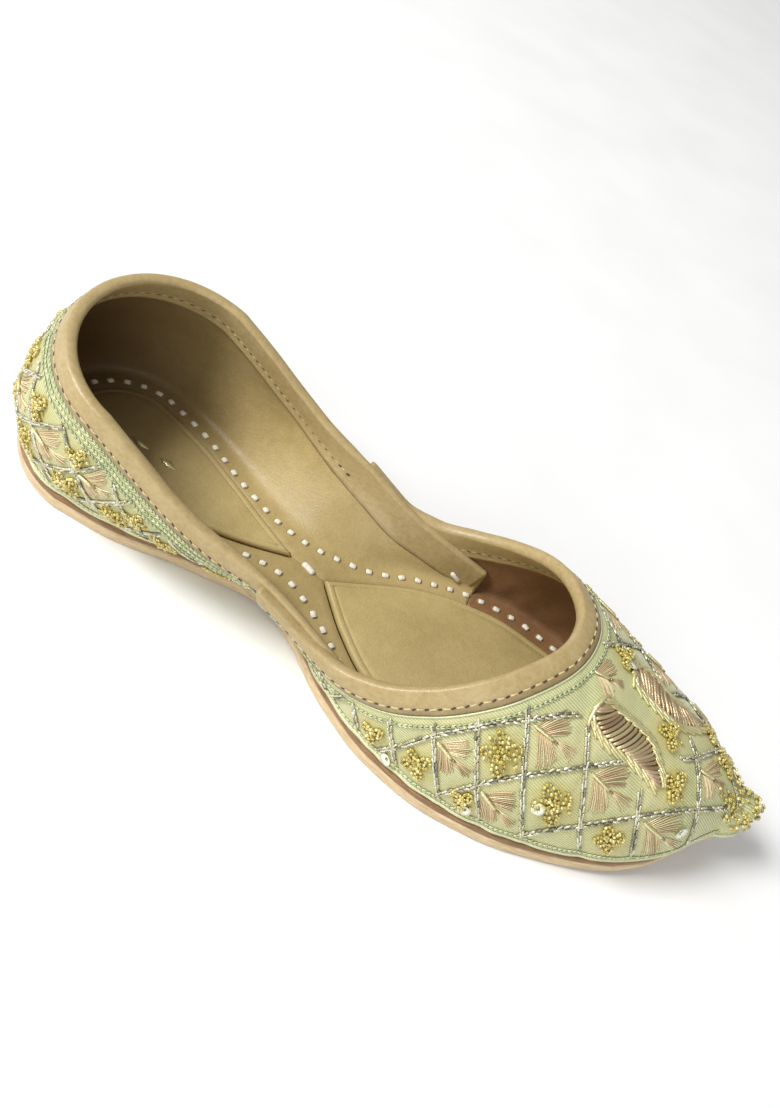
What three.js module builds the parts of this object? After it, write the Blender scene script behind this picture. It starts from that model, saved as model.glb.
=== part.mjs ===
// Mojari, right foot: a flat slip-on shoe made of two lapped upper pieces on a thin leather sole.
// Millimetres, +X towards the toe, +Y towards the inner (left-hand) side, +Z up.
// Along the shoe, s is the distance from the back of the sole. Across it, y is the distance from
// the centre line, which curves a little inwards at the toe. Heights z are above a flat sole, and
// the arch and the toe spring are added to them last.

import * as THREE from 'three';
import { mergeVertices } from 'three/addons/utils/BufferGeometryUtils.js';

// --- Driving dimensions -------------------------------------------------------------------------

const gap = 0.3;                // clearance between pieces that touch

const outsoleThickness = 3.8;
const midsoleThickness = 1.8;
const edgeChamfer = 0.7;        // worn lower corner of the outsole

const wall = 2.0;               // leather lining and embroidered cloth together
const flangeThickness = 1.5;    // lower margin of the upper, turned in over the midsole
const padThickness = 2.9;

const heelCentre = 32;          // s where the sole's heel is widest and its back curve starts
const collarCentre = 46;        // the same for the collar, which leans forward
const shearEnd = 92;            // s where the forward lean of the quarter has died out
const soleCapStart = 247;       // the last rows end here and a half ellipse rounds the toe
const soleTip = 251;
const vampTip = 253.5;          // the toe of the vamp overhangs the sole

const leanHeight = 24;          // height over which the walls swing out from sole to body width
const domePower = 2.1;          // roundness of the cross-sections (2 is an ellipse)
const collarBackHeight = 52;
const waist = 100;              // s where the flange margins of the two sides meet
const quarterFront = 150;       // front ends of the quarter, inside the vamp
const vampBack = 101;           // rear tips of the vamp, outside the quarter
const vampRearSlant = 4;        // the rear edge of the vamp slopes forward by this at the sole
const throatFront = 178;
const lapStart = 66;            // the quarter draws inwards from here to pass under the vamp

const archStart = 78;
const archEnd = 124;
const archLift = 1.6;
const toeSpringStart = 196;
const toeSpring = 7;

// Cross-sections of the last: half-widths of the sole, of the upper where it meets the sole and of
// the upper's body, and the height of the crest that the section would reach if it were closed.
const LAST = [
  { s: 32, sole: 32.5, feather: 30.5, body: 36.0, crest: 112 },
  { s: 50, sole: 29.5, feather: 27.5, body: 36.0, crest: 106 },
  { s: 75, sole: 21.0, feather: 19.0, body: 35.2, crest: 96 },
  { s: 97, sole: 16.5, feather: 14.5, body: 35.0, crest: 82 },
  { s: 112, sole: 21.0, feather: 19.0, body: 35.5, crest: 71 },
  { s: 130, sole: 32.0, feather: 30.0, body: 37.5, crest: 62.5 },
  { s: 150, sole: 40.0, feather: 38.0, body: 40.2, crest: 57 },
  { s: 168, sole: 42.3, feather: 40.3, body: 41.5, crest: 53 },
  { s: 185, sole: 40.5, feather: 38.5, body: 39.5, crest: 48.5 },
  { s: 205, sole: 35.2, feather: 33.2, body: 34.2, crest: 42 },
  { s: 222, sole: 29.5, feather: 27.5, body: 28.4, crest: 35 },
  { s: 233, sole: 23.0, feather: 21.2, body: 21.8, crest: 29 },
  { s: 239, sole: 16.8, feather: 15.4, body: 15.8, crest: 24.6 },
  { s: 243, sole: 10.8, feather: 9.8, body: 10.2, crest: 21.4 },
  { s: 247, sole: 6.6, feather: 6.4, body: 7.0, crest: 18.6 },
  { s: 254, sole: 6.6, feather: 6.4, body: 7.0, crest: 16 },
];

// Centre line: how far it lies towards the inner side.
const CENTRE = [
  { s: 0, shift: 5 },
  { s: 60, shift: 1 },
  { s: 125, shift: -1.5 },
  { s: 190, shift: -1 },
  { s: 222, shift: 2.2 },
  { s: 254, shift: 9 },
];

// Back of the heel, seen from the side: how far forward of the sole's back the wall lies.
const HEEL_BACK = [
  { z: 6, s: 2.2 },
  { z: 15, s: -0.8 },
  { z: 26, s: 0.8 },
  { z: 38, s: 6.0 },
  { z: 54, s: 15.5 },
];

// Height of the quarter's rim, and of the vamp's rim from its rear tips to the throat.
const QUARTER_RIM = [
  { s: 32, z: 47.5 },
  { s: 50, z: 42.5 },
  { s: 65, z: 37.6 },
  { s: 92, z: 30.6 },
  { s: 112, z: 26.0 },
  { s: 130, z: 21.2 },
  { s: 150, z: 15.5 },
];
const VAMP_RIM = [
  { s: 101, z: 28.0 },
  { s: 110, z: 25.6 },
  { s: 120, z: 23.6 },
  { s: 128, z: 23.8 },
  { s: 140, z: 28.0 },
  { s: 153, z: 36.0 },
  { s: 165, z: 44.6 },
  { s: 172, z: 48.8 },
  { s: 178, z: 51.0 },
];

// Half-widths of the two insole pads, each pointed at the waist of the shoe.
const HEEL_PAD = [
  { s: 32, half: 19.8 },
  { s: 50, half: 17.0 },
  { s: 65, half: 12.4 },
  { s: 80, half: 7.0 },
  { s: 91, half: 2.6 },
  { s: 97, half: 0 },
];
const heelPadBack = 12.5;
const padFront = 236;
const FRONT_PAD = [
  { s: 110, half: 0 },
  { s: 115, half: 4.5 },
  { s: 123, half: 11.5 },
  { s: 135, half: 20.0 },
  { s: 150, half: 26.5 },
  { s: 165, half: 29.3 },
  { s: 180, half: 28.5 },
  { s: 195, half: 24.8 },
  { s: 210, half: 19.0 },
  { s: 222, half: 12.8 },
  { s: 230, half: 7.5 },
  { s: padFront, half: 0 },
];

const midsoleBase = outsoleThickness + gap;
const upperBase = midsoleBase + midsoleThickness + gap;

// --- Curves through the tables ------------------------------------------------------------------

// Monotone cubic curve through two columns of a table, level beyond its ends.
function curve(rows, from, to) {
  const x = rows.map((row) => row[from]);
  const y = rows.map((row) => row[to]);
  const last = rows.length - 1;
  const secant = x.slice(1).map((right, i) => (y[i + 1] - y[i]) / (right - x[i]));
  const slope = x.map((_, i) => {
    const before = secant[Math.max(i - 1, 0)];
    const after = secant[Math.min(i, last - 1)];
    return before * after <= 0 ? 0 : (2 * before * after) / (before + after);
  });
  return (at) => {
    if (at <= x[0]) return y[0];
    if (at >= x[last]) return y[last];
    const i = x.findIndex((right) => right > at) - 1;
    const width = x[i + 1] - x[i];
    const t = (at - x[i]) / width;
    const rise = y[i + 1] - y[i];
    const bend = width * (slope[i] + slope[i + 1]) - 2 * rise;
    return y[i] + t * (width * slope[i] + t * (rise - width * slope[i] - bend + t * bend));
  };
}

const rowSole = curve(LAST, 's', 'sole');
const rowFeather = curve(LAST, 's', 'feather');
const rowBody = curve(LAST, 's', 'body');
const crest = curve(LAST, 's', 'crest');
const centre = curve(CENTRE, 's', 'shift');
const heelBack = curve(HEEL_BACK, 'z', 's');
const quarterRim = curve(QUARTER_RIM, 's', 'z');
const vampRim = curve(VAMP_RIM, 's', 'z');
const rowHeelPad = curve(HEEL_PAD, 's', 'half');
const frontPad = curve(FRONT_PAD, 's', 'half');

const ellipse = (t) => Math.sqrt(Math.max(0, 1 - t * t));
const ramp = (t) => Math.min(1, Math.max(0, t));
const smooth = (t) => ramp(t) * ramp(t) * (3 - 2 * ramp(t));

// Height that the arch and the toe spring add.
function lift(s) {
  const arch = Math.sin(Math.PI * ramp((s - archStart) / (archEnd - archStart)));
  const toe = ramp((s - toeSpringStart) / (soleTip - toeSpringStart));
  return archLift * arch * arch + toeSpring * toe * toe;
}

function soleHalf(s) {
  if (s < heelCentre) return rowSole(heelCentre) * ellipse((heelCentre - s) / heelCentre);
  const cap = ramp((s - soleCapStart) / (soleTip - soleCapStart));
  return rowSole(s) * ellipse(cap);
}

function heelPad(s) {
  if (s > heelCentre) return rowHeelPad(s);
  return rowHeelPad(heelCentre) * ellipse((heelCentre - s) / (heelCentre - heelPadBack));
}

// Half-width of the outside of the upper at a height, before the section is rounded over.
function openHalf(s, z) {
  const swing = Math.sin((Math.PI / 2) * ramp((z - upperBase) / leanHeight));
  return rowFeather(s) + (rowBody(s) - rowFeather(s)) * swing;
}

// Half-width of the outside of the upper at a height.
function bodyHalf(s, z) {
  const rise = ramp((z - upperBase) / (crest(s) - upperBase));
  return openHalf(s, z) * Math.pow(1 - Math.pow(rise, domePower), 1 / domePower);
}

// --- Solids from half sections ------------------------------------------------------------------

// Each piece is the same on both sides of the centre line, so it is given as a list of closed
// half sections {s, y, z}, one a station. Faces that lie on the centre line are left out, which
// joins the two halves, and an open end is closed with a flat face.
function solid(sections, openEnd) {
  const corners = [];
  const onCentre = (p) => p.y < 1e-6;
  const place = (p, side) => [p.s, centre(p.s) + side * p.y, p.z + lift(p.s)];
  const triangle = (side, a, b, c) => {
    if (onCentre(a) && onCentre(b) && onCentre(c)) return;
    const order = side > 0 ? [a, b, c] : [a, c, b];
    order.forEach((p) => corners.push(...place(p, side)));
  };
  for (const side of [-1, 1]) {
    const cover = (section, atStart) => {
      const outline = section.map((p) => new THREE.Vector2(p.y, p.z));
      const reverse = THREE.ShapeUtils.isClockWise(outline) === atStart;
      for (const [a, b, c] of THREE.ShapeUtils.triangulateShape(outline, [])) {
        const [first, second] = reverse ? [b, c] : [c, b];
        triangle(side, section[a], section[first], section[second]);
      }
    };
    for (let i = 0; i + 1 < sections.length; i += 1) {
      const here = sections[i];
      const next = sections[i + 1];
      for (let j = 0; j < here.length; j += 1) {
        const k = (j + 1) % here.length;
        triangle(side, here[j], here[k], next[k]);
        triangle(side, here[j], next[k], next[j]);
      }
    }
    if (openEnd === 'first') cover(sections[0], true);
    if (openEnd === 'last') cover(sections[sections.length - 1], false);
  }
  const loose = new THREE.BufferGeometry();
  loose.setAttribute('position', new THREE.Float32BufferAttribute(corners, 3));
  const merged = mergeVertices(loose, 1e-4);
  const index = merged.index.array;
  const kept = [];
  for (let i = 0; i < index.length; i += 3) {
    const [a, b, c] = [index[i], index[i + 1], index[i + 2]];
    if (a !== b && b !== c && c !== a) kept.push(a, b, c);
  }
  merged.setIndex(kept);
  merged.computeVertexNormals();
  return merged;
}

// Stations from one s to another, closer together towards the ends that are rounded.
function stations(from, to, count, roundStart, roundEnd) {
  const spread = (t) => {
    if (roundStart && roundEnd) return (1 - Math.cos(Math.PI * t)) / 2;
    if (roundStart) return 1 - Math.cos((Math.PI / 2) * t);
    if (roundEnd) return Math.sin((Math.PI / 2) * t);
    return t;
  };
  return Array.from({ length: count + 1 }, (_, i) => from + (to - from) * spread(i / count));
}

function joinStations(...lists) {
  return lists.flatMap((list, i) => (i ? list.slice(1) : list));
}

const steps = (count) => Array.from({ length: count + 1 }, (_, i) => i / count);

// --- Sole layers and pads -----------------------------------------------------------------------

// A flat layer with the given outline, with its lower edge cut back by a chamfer.
function layer(half, along, bottom, top, chamfer) {
  return solid(along.map((s) => {
    const y = half(s);
    const lower = Math.max(0, y - chamfer);
    return [
      { s, y: 0, z: bottom },
      { s, y: lower, z: bottom },
      { s, y, z: bottom + chamfer },
      { s, y, z: top },
      { s, y: 0, z: top },
    ];
  }));
}

const toeStations = joinStations(stations(throatFront, 215, 5), stations(215, padFront, 6, false, true));

const soleStations = joinStations(
  stations(0, heelCentre, 9, true, false),
  stations(heelCentre, archStart, 5),
  stations(archStart, archEnd, 7),
  stations(archEnd, toeSpringStart, 8),
  stations(toeSpringStart, padFront, 6),
  stations(padFront, soleCapStart, 5),
  stations(soleCapStart, soleTip, 4, false, true),
);

function outsole() {
  return layer(soleHalf, soleStations, 0, outsoleThickness, edgeChamfer);
}

// The midsole stands back a little from the outsole's edge.
function midsole() {
  const setBack = 0.5;
  const shorten = (soleTip - 2 * setBack) / soleTip;
  const narrow = 1 - setBack / rowSole(heelCentre);
  const along = soleStations.map((s) => setBack + s * shorten);
  const half = (s) => narrow * soleHalf((s - setBack) / shorten);
  return layer(half, along, midsoleBase, midsoleBase + midsoleThickness, 0);
}

function pad(half, along) {
  return layer(half, along, upperBase, upperBase + padThickness, 0);
}

function heelInsole() {
  const along = joinStations(
    stations(heelPadBack, heelCentre, 7, true, false),
    stations(heelCentre, 80, 6),
    stations(80, 97, 4),
  );
  return pad(heelPad, along);
}

function frontInsole() {
  return pad(frontPad, joinStations(stations(110, quarterFront, 6), stations(quarterFront, throatFront, 4), toeStations));
}

// --- Quarter ------------------------------------------------------------------------------------

const quarterRows = 9;

// How far the quarter's wall lies inside the body of the last, to pass under the vamp.
function lap(s) {
  return (wall + gap) * smooth((s - lapStart) / (vampBack - lapStart - 2));
}

// A point of the quarter's side wall. Stations lean forward with height towards the heel.
function sidePoint(station, z, inset) {
  const fade = ramp((shearEnd - station) / (shearEnd - heelCentre));
  const lean = (collarCentre - heelCentre) * ramp((z - upperBase) / (collarBackHeight - upperBase));
  const s = station + lean * fade;
  return { s, y: bodyHalf(s, z) - lap(s) - inset, z };
}

// A point of the back of the heel, where turn runs from 0 at the side to 1 at the back.
function heelPoint(turn, z, inset) {
  const side = sidePoint(heelCentre, z, inset);
  const angle = (Math.PI / 2) * turn;
  const reach = side.s - heelBack(z) - inset;
  return { s: side.s - reach * Math.sin(angle), y: turn === 1 ? 0 : side.y * Math.cos(angle), z };
}

// A half section of the quarter: up the outside, down the inside and in along the flange.
function quarterSection(point, rimHeight, edge) {
  const floor = upperBase + flangeThickness;
  const up = steps(quarterRows).map((t) => point(upperBase + (rimHeight - upperBase) * t, 0));
  const down = steps(quarterRows).map((t) => point(rimHeight - (rimHeight - floor) * t, wall));
  return [...up, ...down, { ...edge, z: floor }, { ...edge, z: upperBase }];
}

// Inner edge of the turned-in flange, which leaves room for the pads.
function flangeEdge(s) {
  const room = s < waist ? heelPad(s) : frontPad(s);
  return room > 0 ? room + gap : 0;
}

function quarter() {
  const along = joinStations(stations(quarterFront, 110, 6), stations(110, 97, 3), stations(97, heelCentre, 9));
  const sides = along.map((station) => {
    const edge = { s: station, y: flangeEdge(station) };
    return quarterSection((z, inset) => sidePoint(station, z, inset), quarterRim(station), edge);
  });
  const turns = steps(10).slice(1);
  const back = turns.map((turn) => {
    const angle = (Math.PI / 2) * turn;
    const reach = heelCentre - heelPadBack + gap;
    const edge = {
      s: heelCentre - reach * Math.sin(angle),
      y: turn === 1 ? 0 : (rowHeelPad(heelCentre) + gap) * Math.cos(angle),
    };
    const rise = (collarBackHeight - quarterRim(heelCentre)) * Math.sin(angle);
    return quarterSection((z, inset) => heelPoint(turn, z, inset), quarterRim(heelCentre) + rise, edge);
  });
  return solid([...sides, ...back].reverse(), 'last');
}

// --- Vamp ---------------------------------------------------------------------------------------

const vampRows = 13;

// A point of the vamp's cross-section; angle 0 is at the sole and a right angle at the crest.
function vampPoint(s, angle, inset) {
  const share = Math.pow(Math.sin(angle), 2 / domePower);
  const z = upperBase + (crest(s) - inset - upperBase) * share;
  const cap = ellipse(ramp((s + inset - soleCapStart) / (vampTip - soleCapStart)));
  const width = Math.max(0, openHalf(s, z) - inset) * cap;
  const round = angle > Math.PI / 2 - 1e-9 ? 0 : Math.pow(Math.cos(angle), 2 / domePower);
  return { s, y: width * round, z };
}

// The angle at which the section reaches a height.
function angleAt(s, z, inset) {
  return Math.asin(Math.pow(ramp((z - upperBase) / (crest(s) - inset - upperBase)), domePower / 2));
}

// A half section of the vamp: up the outside to the rim or the crest, and back down the inside.
function vampSection(station) {
  const floor = upperBase + flangeThickness;
  const slope = ramp((quarterFront - station) / (quarterFront - vampBack));
  const slant = (t) => vampRearSlant * (1 - t) * slope;
  const end = (s) => (s < throatFront ? angleAt(s, vampRim(s), 0) : Math.PI / 2);
  const up = steps(vampRows).map((t) => {
    const s = station + slant(t);
    return vampPoint(s, end(s) * t, 0);
  });
  const within = station - wall * ramp((station - throatFront) / (vampTip - throatFront));
  const down = steps(vampRows).reverse().map((t) => {
    const s = within + slant(t);
    const start = angleAt(s, floor, wall);
    return vampPoint(s, start + (end(s) - start) * t, wall);
  });
  const foot = down[down.length - 1];
  const turnedIn = station > quarterFront + gap;
  const along = Math.max(Math.min(station, padFront), within);
  const edge = turnedIn ? { s: along, y: Math.min(foot.y, flangeEdge(along)) } : foot;
  return [...up, ...down, { ...edge, z: floor }, { ...edge, z: upperBase }];
}

function vamp() {
  const along = joinStations(
    stations(vampBack, quarterFront + gap, 8),
    [quarterFront + gap, quarterFront + 3 * gap],
    stations(quarterFront + 3 * gap, throatFront, 9, false, true),
    toeStations,
    stations(padFront, soleCapStart, 5),
    stations(soleCapStart, vampTip, 5, false, true),
  );
  return solid(along.map(vampSection), 'first');
}

// --- Assembly -----------------------------------------------------------------------------------

function leather(color, roughness) {
  return new THREE.MeshStandardMaterial({ color, roughness, metalness: 0 });
}

const pieces = [
  ['outsole', outsole(), leather('#c79a63', 0.75)],
  ['midsole', midsole(), leather('#6b4526', 0.8)],
  ['upper_quarter', quarter(), leather('#cdd7a8', 0.6)],
  ['upper_vamp', vamp(), leather('#cfd9ac', 0.6)],
  ['insole_heel_pad', heelInsole(), leather('#b59a62', 0.5)],
  ['insole_front_pad', frontInsole(), leather('#b59a62', 0.5)],
];

const shoe = new THREE.Group();
for (const [name, geometry, material] of pieces) {
  const mesh = new THREE.Mesh(geometry, material);
  mesh.name = name;
  shoe.add(mesh);
}

// The origin is on the ground below the middle of the shoe's bounding box.
const box = new THREE.Box3().setFromObject(shoe);
const middle = box.getCenter(new THREE.Vector3());
shoe.position.set(-middle.x, -middle.y, 0);

const group = new THREE.Group();
group.add(shoe);

export default group;
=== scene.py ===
import math

import bpy
import numpy as np
from mathutils import Matrix, Vector


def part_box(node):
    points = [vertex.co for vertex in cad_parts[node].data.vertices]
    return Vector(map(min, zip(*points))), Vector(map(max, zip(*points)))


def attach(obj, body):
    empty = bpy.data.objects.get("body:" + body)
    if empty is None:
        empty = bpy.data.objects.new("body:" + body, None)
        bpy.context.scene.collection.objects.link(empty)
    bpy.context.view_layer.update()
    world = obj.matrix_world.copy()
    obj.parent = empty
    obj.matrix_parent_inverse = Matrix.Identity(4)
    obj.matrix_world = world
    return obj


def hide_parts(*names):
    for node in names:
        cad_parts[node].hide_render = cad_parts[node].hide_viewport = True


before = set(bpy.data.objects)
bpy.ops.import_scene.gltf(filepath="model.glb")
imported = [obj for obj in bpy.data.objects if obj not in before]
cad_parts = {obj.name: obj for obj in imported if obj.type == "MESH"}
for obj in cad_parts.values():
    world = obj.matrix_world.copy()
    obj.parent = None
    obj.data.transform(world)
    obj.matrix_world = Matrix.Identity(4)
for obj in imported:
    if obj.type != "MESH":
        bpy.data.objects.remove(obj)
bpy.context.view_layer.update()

MM = 0.001
QUARTER_TURN = math.pi / 2

# The stack under the foot.
OUTSOLE = 3.8
MIDSOLE = 1.8
GAP = 0.3
UPPER_BASE = OUTSOLE + MIDSOLE + 2 * GAP
FLANGE = 1.5
PAD = 2.9
WALL = 2.0

# Places along the last.
HEEL_CENTRE = 32
COLLAR_CENTRE = 46
SHEAR_END = 92
WAIST = 100
VAMP_BACK = 101
VAMP_REAR_SLANT = 4
QUARTER_FRONT = 150
THROAT = 178
SOLE_CAP = 247
SOLE_TIP = 251
VAMP_TIP = 253.5
LEAN_HEIGHT = 24
DOME_POWER = 2.1
COLLAR_BACK = 52
LAP_START = 66
ARCH = (78, 124, 1.6)
TOE_SPRING_START = 196
TOE_SPRING = 7
HEEL_RUN = 48.7
QUARTER_REACH = HEEL_RUN + QUARTER_FRONT - HEEL_CENTRE

# s, half width of the sole, of the upper at the seam and at the body, and crest height.
LAST = [
    (32, 32.5, 30.5, 36.0, 112), (50, 29.5, 27.5, 36.0, 106), (75, 21, 19, 35.2, 96),
    (97, 16.5, 14.5, 35, 82), (112, 21, 19, 35.5, 71), (130, 32, 30, 37.5, 62.5),
    (150, 40, 38, 40.2, 57), (168, 42.3, 40.3, 41.5, 53), (185, 40.5, 38.5, 39.5, 48.5),
    (205, 35.2, 33.2, 34.2, 42), (222, 29.5, 27.5, 28.4, 35), (233, 23.0, 21.2, 21.8, 29),
    (239, 16.8, 15.4, 15.8, 24.6), (243, 10.8, 9.8, 10.2, 21.4), (247, 6.6, 6.4, 7.0, 18.6),
    (254, 6.6, 6.4, 7, 16),
]
CENTRE_LINE = [(0, 5), (60, 1), (125, -1.5), (190, -1), (222, 2.2), (254, 9)]
HEEL_BACK = [(6, 2.2), (15, -0.8), (26, 0.8), (38, 6), (54, 15.5)]
QUARTER_RIM = [(32, 47.5), (50, 42.5), (65, 37.6), (92, 30.6), (112, 26), (130, 21.2), (150, 15.5)]
VAMP_RIM = [
    (101, 28), (110, 25.6), (120, 23.6), (128, 23.8), (140, 28), (153, 36), (165, 44.6),
    (172, 48.8), (178, 51),
]
HEEL_PAD = [(32, 19.8), (50, 17), (65, 12.4), (80, 7), (91, 2.6), (97, 0)]
FRONT_PAD = [
    (110, 0), (115, 4.5), (123, 11.5), (135, 20), (150, 26.5), (165, 29.3), (180, 28.5),
    (195, 24.8), (210, 19), (222, 12.8), (230, 7.5), (236, 0),
]
HEEL_PAD_BACK = 12.5
HEEL_PAD_CROWN = 0.5
FRONT_PAD_CROWN = 0.6
FOIL_STATIONS = (27.0, 38.0, 49.0)
FOIL_HALF_LENGTH = 4
FOIL_HALF_WIDTH = 1.9

# The couched lattice of the vamp. Ribs run down and forward, rails down and back.
# Each number is where the line, or its run beyond the feather edge, crosses the pattern's middle.
PATTERN_MIDDLE = -3.5
RIBS = np.array([64.0, 80.0, 96.0, 111.0, 127.0, 142.0, 158.7, 180.4, 201.0, 225.0])
RAILS = np.array([117.0, 135.0, 153.0, 171.0, 189.4, 207.4, 225.4, 246.4, 268.0])
RIB_LEAN = 0.72
RAIL_RUN = [(0, 0), (7, 8.8), (18, 22), (24.5, 28.5), (36, 39), (47.5, 47.6), (64.5, 55.6), (84, 63)]
PATTERN_REACH = RAIL_RUN[-1][0]
LINE_PULL = 0.75
SHORTEST_RUN = 5.0
PATTERN_FRONT = 246
QUARTER_CELL = 17.0
QUARTER_SLOPE = 0.86

# How the layers stand on each other.
SILK_PROUD = 0.4
PUFF = 0.45
PUFF_REACH = 2.6
NORMAL_STEP = 0.15
BINDING_OUTSIDE = 6.3
BINDING_INSIDE = 9.0
VAMP_WALL_END = 4.0
VAMP_BEND = 2.2
QUARTER_BEND = 2.4
LINING_THICKNESS = 0.8
CREASE_DEPTH = 0.25

# Where the quarter's silk and its binding thin out to pass inside the vamp.
TUCK_START = 110
TUCK_RUN = 12
FLATTEN_START = 108
FLATTEN_RUN = 10

# Stitches, threads and beads.
STITCH_PITCH = 3.7
FLANGE_STITCH_INSET = 8.5
FLANGE_STITCH_PITCH = 5.6
FLANGE_STITCH_RADIUS = 0.98
DENT_SHADOW_HALF = 1.55
DENT_SHADOW_RADIUS = 1.1
WAIST_STITCH = ((101.5, 0.6), (106.0, -0.4))
WAIST_STITCH_RADIUS = 1.15
BEAD_RADIUS = 0.48
BEAD_HALF = 0.42
LATTICE_RADIUS = 0.36
FAN_THREAD_RADIUS = 0.2
FLOWER_STAIN = 5.6

# The stations between which the brown shade painted on the leather at the heel fades out.
PAINTED_SHADE_FROM = 2
PAINTED_SHADE_TO = 75

# How a laid thread, rod or bead swells: share of its length, of its radius, of its height.
ROD = [(0, 0.4, 1), (0.1, 1, 1), (0.9, 1, 1), (1, 0.4, 1)]
BEAD = [(0, 0.5, 1), (0.25, 0.96, 1), (0.75, 0.96, 1), (1, 0.5, 1)]
THREAD = [(0, 0.5, 0), (0.15, 1, 0.7), (0.5, 1, 1), (0.85, 1, 0.7), (1, 0.5, 0)]
PATCH = [(0, 0.75, 0.5), (0.1, 1, 1), (0.9, 1, 1), (1, 0.75, 0.5)]
CORD = [(0, 0.5, 0.1), (0.06, 0.9, 0.5), (0.2, 1, 0.9), (0.4, 1, 1), (0.6, 1, 1), (0.8, 1, 0.9),
        (0.94, 0.9, 0.5), (1, 0.5, 0.1)]

random = np.random.default_rng(7)


# --- Shape of the last -------------------------------------------------------------------------

def curve(rows, column=1):
    """A smooth curve that never overshoots, through one column of the rows against the first."""
    x = np.array([row[0] for row in rows], float)
    y = np.array([row[column] for row in rows], float)
    rise = np.diff(y) / np.diff(x)
    before = np.append(rise[:1], rise)
    after = np.append(rise, rise[-1:])
    total = np.where(before + after == 0, 1, before + after)
    slope = np.where(before * after > 0, 2 * before * after / total, 0)

    def at(value):
        value = np.clip(value, x[0], x[-1])
        i = np.clip(np.searchsorted(x, value, side="right") - 1, 0, len(rise) - 1)
        width = x[i + 1] - x[i]
        t = (value - x[i]) / width
        step = y[i + 1] - y[i]
        bend = width * (slope[i] + slope[i + 1]) - 2 * step
        return y[i] + t * (width * slope[i] + t * (step - width * slope[i] - bend + t * bend))

    return at


sole_row, feather_row, body_row, crest = [curve(LAST, column) for column in (1, 2, 3, 4)]
centre = curve(CENTRE_LINE)
heel_back = curve(HEEL_BACK)
quarter_rim_row = curve(QUARTER_RIM)
vamp_rim = curve(VAMP_RIM)
heel_pad_row = curve(HEEL_PAD)
front_pad = curve(FRONT_PAD)
rail_run = curve(RAIL_RUN)


def ramp(t):
    return np.clip(t, 0, 1)


def smooth(t):
    return ramp(t) ** 2 * (3 - 2 * ramp(t))


def ellipse(t):
    return np.sqrt(np.maximum(0, 1 - np.asarray(t, float) ** 2))


def unit(vectors):
    return vectors / np.maximum(np.linalg.norm(vectors, axis=-1, keepdims=True), 1e-12)


def lift(s):
    """Height of the ground line: the hollow under the arch and the toe spring."""
    start, end, rise = ARCH
    arch = np.sin(math.pi * ramp((s - start) / (end - start)))
    toe = ramp((s - TOE_SPRING_START) / (SOLE_TIP - TOE_SPRING_START))
    return rise * arch**2 + TOE_SPRING * toe**2


def sole_half(s):
    heel = sole_row(HEEL_CENTRE) * ellipse(ramp((HEEL_CENTRE - s) / HEEL_CENTRE))
    toe = sole_row(s) * ellipse(ramp((s - SOLE_CAP) / (SOLE_TIP - SOLE_CAP)))
    return np.where(s < HEEL_CENTRE, heel, toe)


def heel_pad(s):
    back = ramp((HEEL_CENTRE - s) / (HEEL_CENTRE - HEEL_PAD_BACK))
    return np.where(s > HEEL_CENTRE, heel_pad_row(s), heel_pad_row(HEEL_CENTRE) * ellipse(back))


def open_half(s, z):
    swell = np.sin(QUARTER_TURN * ramp((z - UPPER_BASE) / LEAN_HEIGHT))
    return feather_row(s) + (body_row(s) - feather_row(s)) * swell


def body_half(s, z):
    rise = ramp((z - UPPER_BASE) / (crest(s) - UPPER_BASE))
    return open_half(s, z) * (1 - rise**DOME_POWER) ** (1 / DOME_POWER)


def lap(s):
    """How far the quarter steps in to pass inside the vamp."""
    return (WALL + GAP) * smooth((s - LAP_START) / (VAMP_BACK - LAP_START - 2))


OUTLINE = np.linspace(0, SOLE_TIP, 500)
X_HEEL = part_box("outsole")[0].x / MM
Y_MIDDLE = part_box("outsole")[1].y / MM - np.max(centre(OUTLINE) + sole_half(OUTLINE))


def on_last(s, y, z):
    """Millimetres along, across and above the last, as a place in the row's frame in metres."""
    s, y, z = np.broadcast_arrays(s, y, z)
    return np.stack([s + X_HEEL, centre(s) + y + Y_MIDDLE, z + lift(s)], -1) * MM


# --- The two skins -----------------------------------------------------------------------------

class Skin:
    """A curved skin with pattern coordinates a and b in millimetres, seen from outside."""

    def __init__(self, point, facing, gap_to_lines=None, inset=0.0):
        self.point = point
        self.facing = facing
        self.gap_to_lines = gap_to_lines
        self.inset = inset

    def frame(self, a, b, inset=0.0):
        """Places on the skin and the directions that point straight out of it there."""
        step = NORMAL_STEP
        along = self.point(a + step, b, inset) - self.point(a - step, b, inset)
        across = self.point(a, b + step, inset) - self.point(a, b - step, inset)
        return self.point(a, b, inset), unit(np.cross(along, across)) * self.facing

    def cover(self, a, b):
        """Height of the silk, which stands proud between the couched lines that pull it down."""
        if self.gap_to_lines is None:
            return 0.0
        return SILK_PROUD + PUFF * (1 - np.exp(-(self.gap_to_lines(a, b) / PUFF_REACH) ** 2))

    def raised(self, a, b, height=0.0):
        """Places height millimetres above the silk, and the outward directions there."""
        place, out = self.frame(a, b, self.inset)
        above = self.cover(a, b) + height
        return place + out * np.asarray(above)[..., None] * MM, out


def round_heel(p):
    """The station that a way round from the middle of the heel comes to, and its turn there."""
    station = HEEL_CENTRE + np.maximum(np.abs(p) - HEEL_RUN, 0)
    return station, ramp(1 - np.abs(p) / HEEL_RUN) * QUARTER_TURN


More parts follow.
